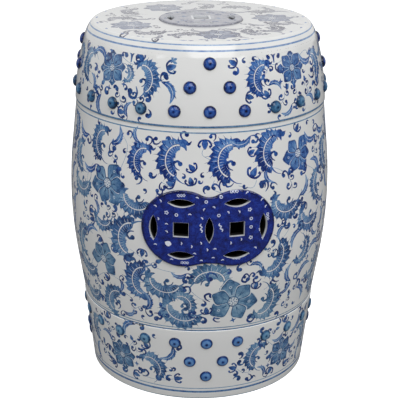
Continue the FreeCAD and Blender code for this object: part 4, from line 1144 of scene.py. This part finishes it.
UPPER_GROUND = (155, 366, 439)
upper_fillers = fill_gaps(*UPPER_GROUND, UPPER_PLAN, beside_upper, lambda angle, height: 0.25)
laid = stems(upper_side, UPPER_STEMS) + lay_out(upper_side, UPPER_PLAN) + lay_out(upper_side, upper_fillers)
laid += lines_round(upper_side, [(362.6, 2.2, 0.68, 0.65)])
wear(paint("upper_band_glaze", *brush(upper_side, laid)), painted)

# Lower band: turned like the shoulder and luted between foot and barrel. It carries the
# same blossoms and leaves in a thinner wash, with a line under them.

LOWER_PLAN = (
    ("open blossom", -45, 46, 10, 0.85, False, 0.7, 0.95),
    ("open blossom", 42, 48, 0, 0.85, False, 0.6, 0.95),
    ("leaf", -25.5, 44, 30, 0.95, True, 0.6, 0.9),
    ("leaf", 24.5, 54, -10, 0.95, False, 0.6, 0.9),
    ("bud", -15, 29, -80, 0.9, False, 0.3, 1.0),
    ("bud", 14.5, 42, 70, 0.9, False, 0.3, 1.0),
    ("comma", 15, 31, 20, 1.0, False, 0.3, 1.0),
    ("sprig", -36.5, 66, 30, 0.9, False, 0.4, 0.95),
    ("hook", -33, 56, 0, 1.0, False, 0.3, 0.95),
    ("sprig", -53, 80, 60, 0.8, False, 0.5, 0.9),
    ("star", -52, 62, 0, 1.0, False, 0.4, 0.9),
    ("star", -36, 40, 0, 1.0, False, 0.4, 0.9),
    ("sprig", -59, 40, 20, 0.9, False, 0.6, 0.9),
    ("hook", -57, 26, -20, 1.1, False, 0.5, 0.9),
    ("hook", -33, 24, 0, 1.2, False, 0.4, 0.95),
    ("leaf", -66, 66, 0, 0.9, False, 0.7, 0.85),
    ("hook", 31.5, 68, 100, 1.3, False, 0.3, 0.95),
    ("sprig", 34, 84, -70, 0.8, False, 0.3, 0.95),
    ("hook", 22, 30, 160, 1.1, True, 0.3, 0.95),
    ("leaf", 62, 52, 0, 0.95, True, 0.6, 0.85),
    ("star", 34, 34, 0, 1.0, False, 0.4, 0.9),
    ("star", 51, 66, 0, 1.0, False, 0.4, 0.9),
    ("sprig", 52, 30, 30, 0.9, False, 0.4, 0.9),
    ("small leaf", 78, 60, 170, 0.95, False, 0.6, 0.85),
    ("small leaf", 102, 60, 10, 0.95, True, 0.6, 0.85),
)
LOWER_STEMS = (
    ((-38, 30), (-30, 24), (-22, 24), (-16, 28)),
    ((36, 62), (31, 74), (27, 82)),
    ((-40, 62), (-36, 74), (-31, 80)),
    ((16, 40), (19, 34), (24, 32)),
)
lower_side = Turned(side_of("lower_band"))
LOWER_STUDS = (82.0, 55.5, 8.0, 34.0)


def beside_lower(angle, height):
    """The room beside the studs of the lower band."""
    return beside_studs(angle, height, *LOWER_STUDS)


LOWER_GROUND = (148, 20, 97)
lower_fillers = fill_gaps(*LOWER_GROUND, LOWER_PLAN, beside_lower, lambda angle, height: 0.4)
laid = stems(lower_side, LOWER_STEMS) + lay_out(lower_side, LOWER_PLAN) + lay_out(lower_side, lower_fillers)
laid += lines_round(lower_side, [(15.6, 1.1, 0.5, 0.6)])
wear(paint("lower_band_glaze", *brush(lower_side, laid)), painted)

# Foot ring: luted under the lower band, glazed white down its outside and wiped clean
# where it stands. One line runs round its middle, and a dark grey one just above the
# floor.

FOOT_LINES = ((10.6, 2.8, 0.72, 0.45), (1.0, 1.4, 0.55, 1.0))
foot_side = Turned(side_of("foot_ring"))
laid = lines_round(foot_side, FOOT_LINES)
wear(paint("foot_glaze", *brush(foot_side, laid)), painted)

# Seat: a low domed lid, luted to the shoulder. A ring of open blossoms and leaves in a
# grey wash lies round its coin, with short dashes along the edge and two lines on the
# rim. The grey is partly the wash's own and partly painted glare, the pale reflection of
# a bright backdrop at a low angle. Its plan gives distances from the axis where the others give heights.

SEAT_PLAN = (
    ("open blossom", 8, 96, 0, 1.05, False, 0.8, 0.9),
    ("open blossom", -66, 96, 0, 1.05, False, 0.8, 0.8),
    ("open blossom", -150, 88, 20, 1.05, False, 0.8, 0.9),
    ("open blossom", 92, 90, 0, 1.05, False, 0.8, 0.85),
    ("leaf", -14, 98, 60, 0.85, False, 1.0, 0.95),
    ("leaf", -38, 104, 40, 0.9, True, 1.0, 0.95),
    ("leaf", 34, 98, 20, 0.9, False, 1.0, 0.95),
    ("leaf", 54, 104, 60, 0.9, True, 1.0, 0.95),
    ("leaf", 72, 96, 0, 0.8, False, 1.0, 0.95),
    ("leaf", -92, 98, 0, 0.85, False, 1.0, 0.95),
    ("leaf", -118, 98, 40, 0.9, True, 1.0, 0.95),
    ("leaf", 122, 96, 10, 0.9, False, 1.0, 0.95),
    ("leaf", 146, 92, 60, 0.9, True, 1.0, 0.95),
    ("leaf", 172, 86, 10, 0.85, False, 1.0, 0.95),
    ("sprig", 20, 84, 30, 0.9, False, 1.0, 0.95),
    ("sprig", -24, 78, 50, 0.9, False, 1.0, 0.95),
    ("sprig", -50, 80, 0, 0.9, True, 1.0, 0.95),
    ("sprig", 48, 80, 20, 0.9, False, 1.0, 0.95),
    ("sprig", 110, 82, 60, 0.9, True, 1.0, 0.95),
    ("sprig", 160, 110, 0, 0.9, False, 1.0, 0.95),
    ("sprig", -130, 112, 20, 0.9, False, 1.0, 0.95),
    ("sprig", -104, 116, 70, 0.8, True, 1.0, 0.95),
    ("sprig", 0, 122, 90, 0.7, False, 0.6, 0.8),
    ("spray", 22, 112, 40, 1.2, False, 1.0, 0.9),
    ("spray", -6, 72, 100, 1.2, True, 1.0, 0.9),
    ("spray", -30, 120, 200, 1.1, False, 1.0, 0.9),
    ("spray", 43, 116, -60, 1.2, True, 1.0, 0.9),
    ("spray", 62, 76, 30, 1.2, False, 1.0, 0.9),
    ("spray", 30, 70, -30, 1.1, False, 1.0, 0.9),
    ("spray", -48, 118, 120, 1.2, True, 1.0, 0.9),
    ("spray", -84, 76, 20, 1.2, False, 1.0, 0.9),
    ("spray", -100, 84, 160, 1.1, True, 1.0, 0.9),
    ("spray", 132, 72, 70, 1.2, False, 1.0, 0.9),
    ("spray", 180, 112, 10, 1.2, True, 1.0, 0.9),
    ("spray", -172, 68, 90, 1.1, False, 1.0, 0.9),
    ("spray", 112, 112, -20, 1.2, True, 1.0, 0.9),
    ("spray", 76, 120, 80, 1.0, False, 1.0, 0.9),
    ("hook", 14, 122, 30, 1.1, False, 0.9, 0.9),
    ("hook", -20, 108, 80, 1.1, True, 0.9, 0.9),
    ("hook", 52, 92, 10, 1.1, False, 0.9, 0.9),
    ("hook", -52, 94, 60, 1.1, True, 0.9, 0.9),
    ("hook", 40, 104, 130, 1.1, False, 0.9, 0.9),
    ("hook", -80, 118, 10, 1.1, True, 0.9, 0.9),
    ("hook", 98, 116, 90, 1.1, False, 0.9, 0.9),
    ("hook", 134, 112, 40, 1.1, True, 0.9, 0.9),
    ("hook", -140, 70, 100, 1.1, False, 0.9, 0.9),
)
# The grey in this wash is partly its own and partly painted glare: the pale reflection of a bright backdrop
# at a low angle.
grey_wash_and_glare = glaze("grey wash and painted glare under clear glaze", WHITE, ("#C3CFE0", "#86A6CC", "#3F6FAE", "#1A2F7C"),
               ("#C6C6CB", "#9FA0AA", "#7A7B88", "#505263"), 0.12)
SEAT_HOLE, SEAT_TOP = 52.6 * MM, 457 * MM
DASH_RING = 130
# (degrees from the front, length in mm, depth)
SEAT_DASHES = (
    (-64, 5, 0.9), (-49, 6, 0.85), (-46, 3, 0.9), (-38, 5, 0.9), (-35, 3, 0.9), (-24, 4, 0.8),
    (-13, 9, 0.8), (-9, 6, 0.9), (-1, 4, 1.0), (10, 5, 0.95), (19, 12, 0.85), (23, 4, 1.0),
    (44, 6, 0.9), (51, 5, 0.9), (64, 6, 0.8), (78, 5, 0.8), (95, 6, 0.8), (112, 5, 0.8),
    (128, 8, 0.8), (150, 5, 0.8), (170, 6, 0.8), (-80, 6, 0.85), (-96, 8, 0.8),
    (-114, 5, 0.8), (-132, 6, 0.8), (-152, 7, 0.8), (-170, 5, 0.8),
)
SEAT_LINES = ((453.5, 1.7, 0.55, 0.15), (447.5, 2.1, 0.62, 0.15))
seat_side = Turned(side_of("seat") + [(SEAT_HOLE, SEAT_TOP)])
laid = []
for name, angle, distance, turn, size, flip, grey, strength in SEAT_PLAN:
    laid += seat_side.on_top(motif(name, turn, size, flip, grey, strength), angle, distance)
for angle, length, depth in SEAT_DASHES:
    stroke = Stroke(ribbon([(-length / 2, 0), (0, 0.5), (length / 2, 0)], [0.9, 3.0, 1.0]), depth)
    laid += seat_side.on_top([stroke], angle, DASH_RING)
laid += lines_round(seat_side, SEAT_LINES)
wear(paint("seat_glaze", *brush(seat_side, laid)), grey_wash_and_glare)

# Seat coin: a round pierced coin of the same clay fills the hole in the seat and stands
# a little above it. It has a grey-blue wash over white, with darker blots at the tips
# of its lenses; the grey is partly its own and partly painted glare, as on the seat.

# (motif, across and up from the coin's middle in mm, turn, size)
COIN_PLAN = (
    ("comma", -20, 26, 40, 1.2), ("comma", 24, 20, 200, 1.2), ("comma", 18, -26, 160, 1.1),
    ("comma", -26, -18, 300, 1.2), ("trefoil", 24, -8, 90, 1.2), ("trefoil", -24, 6, 270, 1.2),
    ("hook", 10, 22, 0, 1.2), ("hook", -12, -22, 180, 1.2), ("hook", -34, 22, 90, 1.0),
    ("hook", 34, -24, 0, 1.0), ("star", 30, 30, 0, 1.4), ("star", -30, -30, 0, 1.4),
    ("star", -28, 32, 0, 1.2), ("star", 28, -34, 0, 1.2), ("hook", 38, 12, 0, 0.9),
    ("hook", -40, -10, 60, 0.9), ("comma", 0, -20, 0, 0.9), ("comma", 4, 20, 100, 0.9),
)
DISC = 52 * MM


def disc(grown=0.0):
    """The coin's outline, grown by a width."""
    return arc((0, 0), DISC + grown, 0, 360)[:-1]


def within_disc(points):
    """How far points lie inside the coin, and the way out of it."""
    reach = np.linalg.norm(points, axis=1)
    return DISC - reach, points / np.maximum(reach, 1e-9)[:, None]


def on_seat(flat, out, rise):
    """How the face of the coin stands on the seat."""
    flat_up = np.tile((0.0, 0.0, 1.0), (len(flat), 1))
    sideways = np.column_stack([out, np.zeros(len(out))])
    return np.column_stack([flat, SEAT_TOP + rise]), flat_up, sideways


COIN_SQUARE, LENS_MIDDLE = 18.6, 38
COIN_RELIEF, COIN_EDGE = 2.0 * MM, 1.5 * MM
coin_face = Raised(disc, within_disc, COIN_RELIEF, COIN_EDGE, on_seat)
holes = [square_hole(COIN_SQUARE + CLEAR)]
for x, y in ((0, LENS_MIDDLE), (0, -LENS_MIDDLE), (LENS_MIDDLE, 0), (-LENS_MIDDLE, 0)):
    holes.append(lens_hole(y == 0) + np.array((x, y)) * MM)
ground = [Stroke(disc(1 * MM) / MM, 0.7, grey=1.0), Stroke(disc(-2 * MM) / MM, 0.5, grey=1.0),
          Stroke(arc((0, 0), 17 * MM, 0, 360)[:-1] / MM, 0.4, grey=1.0),
          Stroke(square_hole(24) / MM, 0.05)]
for name, x, y, turn, size in COIN_PLAN:
    ground += [s.moved((x, y), turn, size, False, 0.6, 0.95) for s in MOTIFS[name]]
wear(paint("seat_coin_glaze", *brush(coin_face, ground, holes)), grey_wash_and_glare)

# Studs: round pellets of clay pressed on in a full ring with a cluster of three on
# each side, brushed with cobalt that leaves a pale ring round a dark eye.

STUD = 7.6  # a stud's radius in millimetres


def stud_mesh(rise, bands):
    """One domed stud on the origin, +Z up, its pigment banded from the eye to the rim."""
    bpy.ops.mesh.primitive_uv_sphere_add(segments=32, ring_count=32, radius=1.0)
    stud = bpy.context.object
    bpy.ops.object.mode_set(mode="EDIT")
    bpy.ops.mesh.select_all(action="SELECT")
    bpy.ops.mesh.bisect(plane_co=(0, 0, 0), plane_no=(0, 0, 1), clear_inner=True)
    bpy.ops.object.mode_set(mode="OBJECT")
    stud.scale = (STUD * MM, STUD * MM, rise * MM)
    bpy.ops.object.transform_apply(location=False, rotation=False, scale=True)
    bpy.ops.object.shade_smooth()
    mesh = stud.data
    layer = mesh.attributes.new("pigment", "FLOAT_VECTOR", "CORNER")
    for loop in mesh.loops:
        x, y, _ = mesh.vertices[loop.vertex_index].co / MM
        reach = math.hypot(x, y) / STUD
        depth = np.interp(reach, [r for r, _ in bands], [d for _, d in bands])
        layer.data[loop.index].vector = (depth, 0.0, 0.0)
    return stud


def thin_wash(stud, share):
    """Lets a share of grey-green into one stud's wash."""
    for corner in stud.data.attributes["pigment"].data:
        corner.vector = (corner.vector[0] * (1 - 0.12 * share), share, 0.0)


def stud_site(angle, height):
    """Where the line from a band's face through a stud's middle stands, and how it leans."""
    side = upper_side if height > 300 else lower_side
    radius = np.interp(height * MM, side.heights, side.radii)
    lean_out = np.interp(height * MM, side.heights, side.out[:, 0])
    lean_up = np.interp(height * MM, side.heights, side.out[:, 1])
    turn = Matrix.Rotation(math.radians(angle), 4, "Z")
    tilt = Matrix.Rotation(math.pi / 2 - math.atan2(lean_up, lean_out), 4, "X")
    return turn @ Matrix.Translation((0, -radius, height * MM)) @ tilt


dark = glaze("cobalt brushed on pressed studs", "#9FB6DC", ("#5B7CC4", "#244A9E", "#12256B", "#04060F"),
             ("#7FA3B8", "#3F7194", "#1B3E62", "#061018"), 0.08)
pale = glaze("thin blue wash on pressed studs", "#A9C1DC", ("#6F9ACB", "#3A69AC", "#173474", "#060B22"),
             ("#7FA6BE", "#44759A", "#1E4468", "#071019"), 0.1)
# (share of the stud's radius, depth of pigment), from the eye to the rim
UPPER_BANDS = ((0.0, 1.0), (0.13, 1.0), (0.2, 0.7), (0.42, 0.5), (0.6, 0.62), (0.85, 0.85), (1.0, 0.95))
LOWER_BANDS = ((0.0, 1.0), (0.12, 1.0), (0.2, 0.68), (0.32, 0.42), (0.6, 0.4), (0.74, 0.55), (0.82, 0.85),
               (1.0, 0.9))
for band, rise, material, slot, bands, (ring, pair, spread, tip) in (
        ("upper", 4.5, dark, "cobalt_glaze", UPPER_BANDS, UPPER_STUDS),
        ("lower", 3.0, pale, "pale_blue_glaze", LOWER_BANDS, LOWER_STUDS)):
    groups = {f"{band}_stud_ring": [(PITCH * k, ring) for k in range(round(360 / PITCH))]}
    for place, angle in (("front", 0), ("right", 90), ("back", 180), ("left", 270)):
        sites = [(angle - spread, pair), (angle + spread, pair), (angle, tip)]
        groups[f"{band}_stud_cluster_{place}"] = sites
    for node, sites in groups.items():
        first = stud_mesh(rise, bands)
        studs = [first]
        for _ in sites[1:]:
            copy = first.copy()
            copy.data = first.data.copy()
            bpy.context.scene.collection.objects.link(copy)
            studs.append(copy)
        for stud, (angle, height) in zip(studs, sites):
            # A ring's studs are greyer round the sides than at the front and the back.
            thin_wash(stud, 0.9 if 20 < angle % 180 < 160 and node.endswith("ring") else 0.15)
            stud.data.transform(stud_site(angle, height))
        bpy.ops.object.select_all(action="DESELECT")
        for stud in studs:
            stud.select_set(True)
        bpy.context.view_layer.objects.active = first
        bpy.ops.object.join()
        first.name = f"{node}_glazed"
        wear(first, material)
        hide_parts(node)

# Stage: a white sweep that keeps a light shadow, a broad soft key from the front and
# above with a weak fill from each side, a bright backdrop that the seat mirrors at a low
# angle, and two small boxes whose reflections sit beside the shoulder's middle stud.

world = bpy.data.worlds.new("studio")
bpy.context.scene.world = world
world.use_nodes = True
world.node_tree.nodes.clear()
LAMP_WHITE = (1.0, 1.0, 1.0, 1.0)
way = add(world, "TexCoord")
split = add(world, "SeparateXYZ", [("Vector", way, "Generated")])
behind = remap(world, (split, "Y"), -0.2, 0.6, 0.42, 0.6)
mirrored = remap(world, (split, "Y"), 0.0, 0.6, 0.1, 0.8)
ray = add(world, "LightPath")
fill = add(world, "Background", [("Strength", behind, "Result")], Color=linear("#F4F6FA"))
gloss = add(world, "Background", [("Strength", mirrored, "Result")], Color=LAMP_WHITE)
seen = add(world, "Background", Color=LAMP_WHITE, Strength=1.0)
lit = add(world, "MixShader",
          [("Fac", ray, "Is Glossy Ray"), (1, fill, "Background"), (2, gloss, "Background")])
whole = add(world, "MixShader", [("Fac", ray, "Is Camera Ray"), (1, lit, "Shader"), (2, seen, "Background")])
add(world, "OutputWorld", [("Surface", whole, "Shader")])

bpy.ops.mesh.primitive_plane_add(size=14.0)
floor = bpy.context.object
floor.name = "floor"
sweep = new_material("white paper sweep")
ray = add(sweep, "LightPath")
paper = add(sweep, "BsdfDiffuse", Color=(0.8, 0.8, 0.8, 1.0))
glow = add(sweep, "Emission", Color=LAMP_WHITE, Strength=0.84)
dim = add(sweep, "BsdfDiffuse", Color=(0.25, 0.25, 0.25, 1.0))
bright = add(sweep, "AddShader", [(0, paper, "BSDF"), (1, glow, "Emission")])
cover = add(sweep, "MixShader", [("Fac", ray, "Is Camera Ray"), (1, dim, "BSDF"), (2, bright, "Shader")])
add(sweep, "OutputMaterial", [("Surface", cover, "Shader")])
floor.data.materials.append(sweep)


LAMP_DISTANCE = 2.2


def lamp(name, azimuth, elevation, size, power, aim):
    """A square area light that faces a height on the stool's axis."""
    a, e = math.radians(azimuth), math.radians(elevation)
    flat = LAMP_DISTANCE * math.cos(e)
    place = Vector((flat * math.sin(a), -flat * math.cos(a), aim + LAMP_DISTANCE * math.sin(e)))
    bpy.ops.object.light_add(type="AREA", location=place)
    light = bpy.context.object
    light.name = name
    light.rotation_euler = (Vector((0, 0, aim)) - place).to_track_quat("-Z", "Y").to_euler()
    light.data.size = size
    light.data.energy = power


lamp("key", 8, 45, 1.5, 26.5, 0.3)
lamp("left fill", -84, 24, 1.5, 6.0, 0.44)
lamp("right fill", 82, 24, 1.5, 4.5, 0.44)
lamp("left box", -42, 20, 0.3, 2.2, 0.42)
lamp("right box", 34, 20, 0.3, 2.2, 0.42)

# The camera stands a little to the left of the front, looks down and is rolled a little.
SWING, TILT, ROLL = -4.2, 70.04, 0.585
CAMERA_PLACE = (0.0011, -1.418, 0.7316)
camera = bpy.data.objects.new("camera", bpy.data.cameras.new("camera"))
bpy.context.scene.collection.objects.link(camera)
camera.data.sensor_width = 36.0
camera.data.lens = 102.9
camera.matrix_world = (Matrix.Rotation(math.radians(SWING), 4, "Z") @ Matrix.Translation(CAMERA_PLACE)
                       @ Matrix.Rotation(math.radians(TILT), 4, "X")
                       @ Matrix.Rotation(math.radians(ROLL), 4, "Z"))
bpy.context.scene.camera = camera
bpy.context.scene.view_settings.view_transform = "Standard"
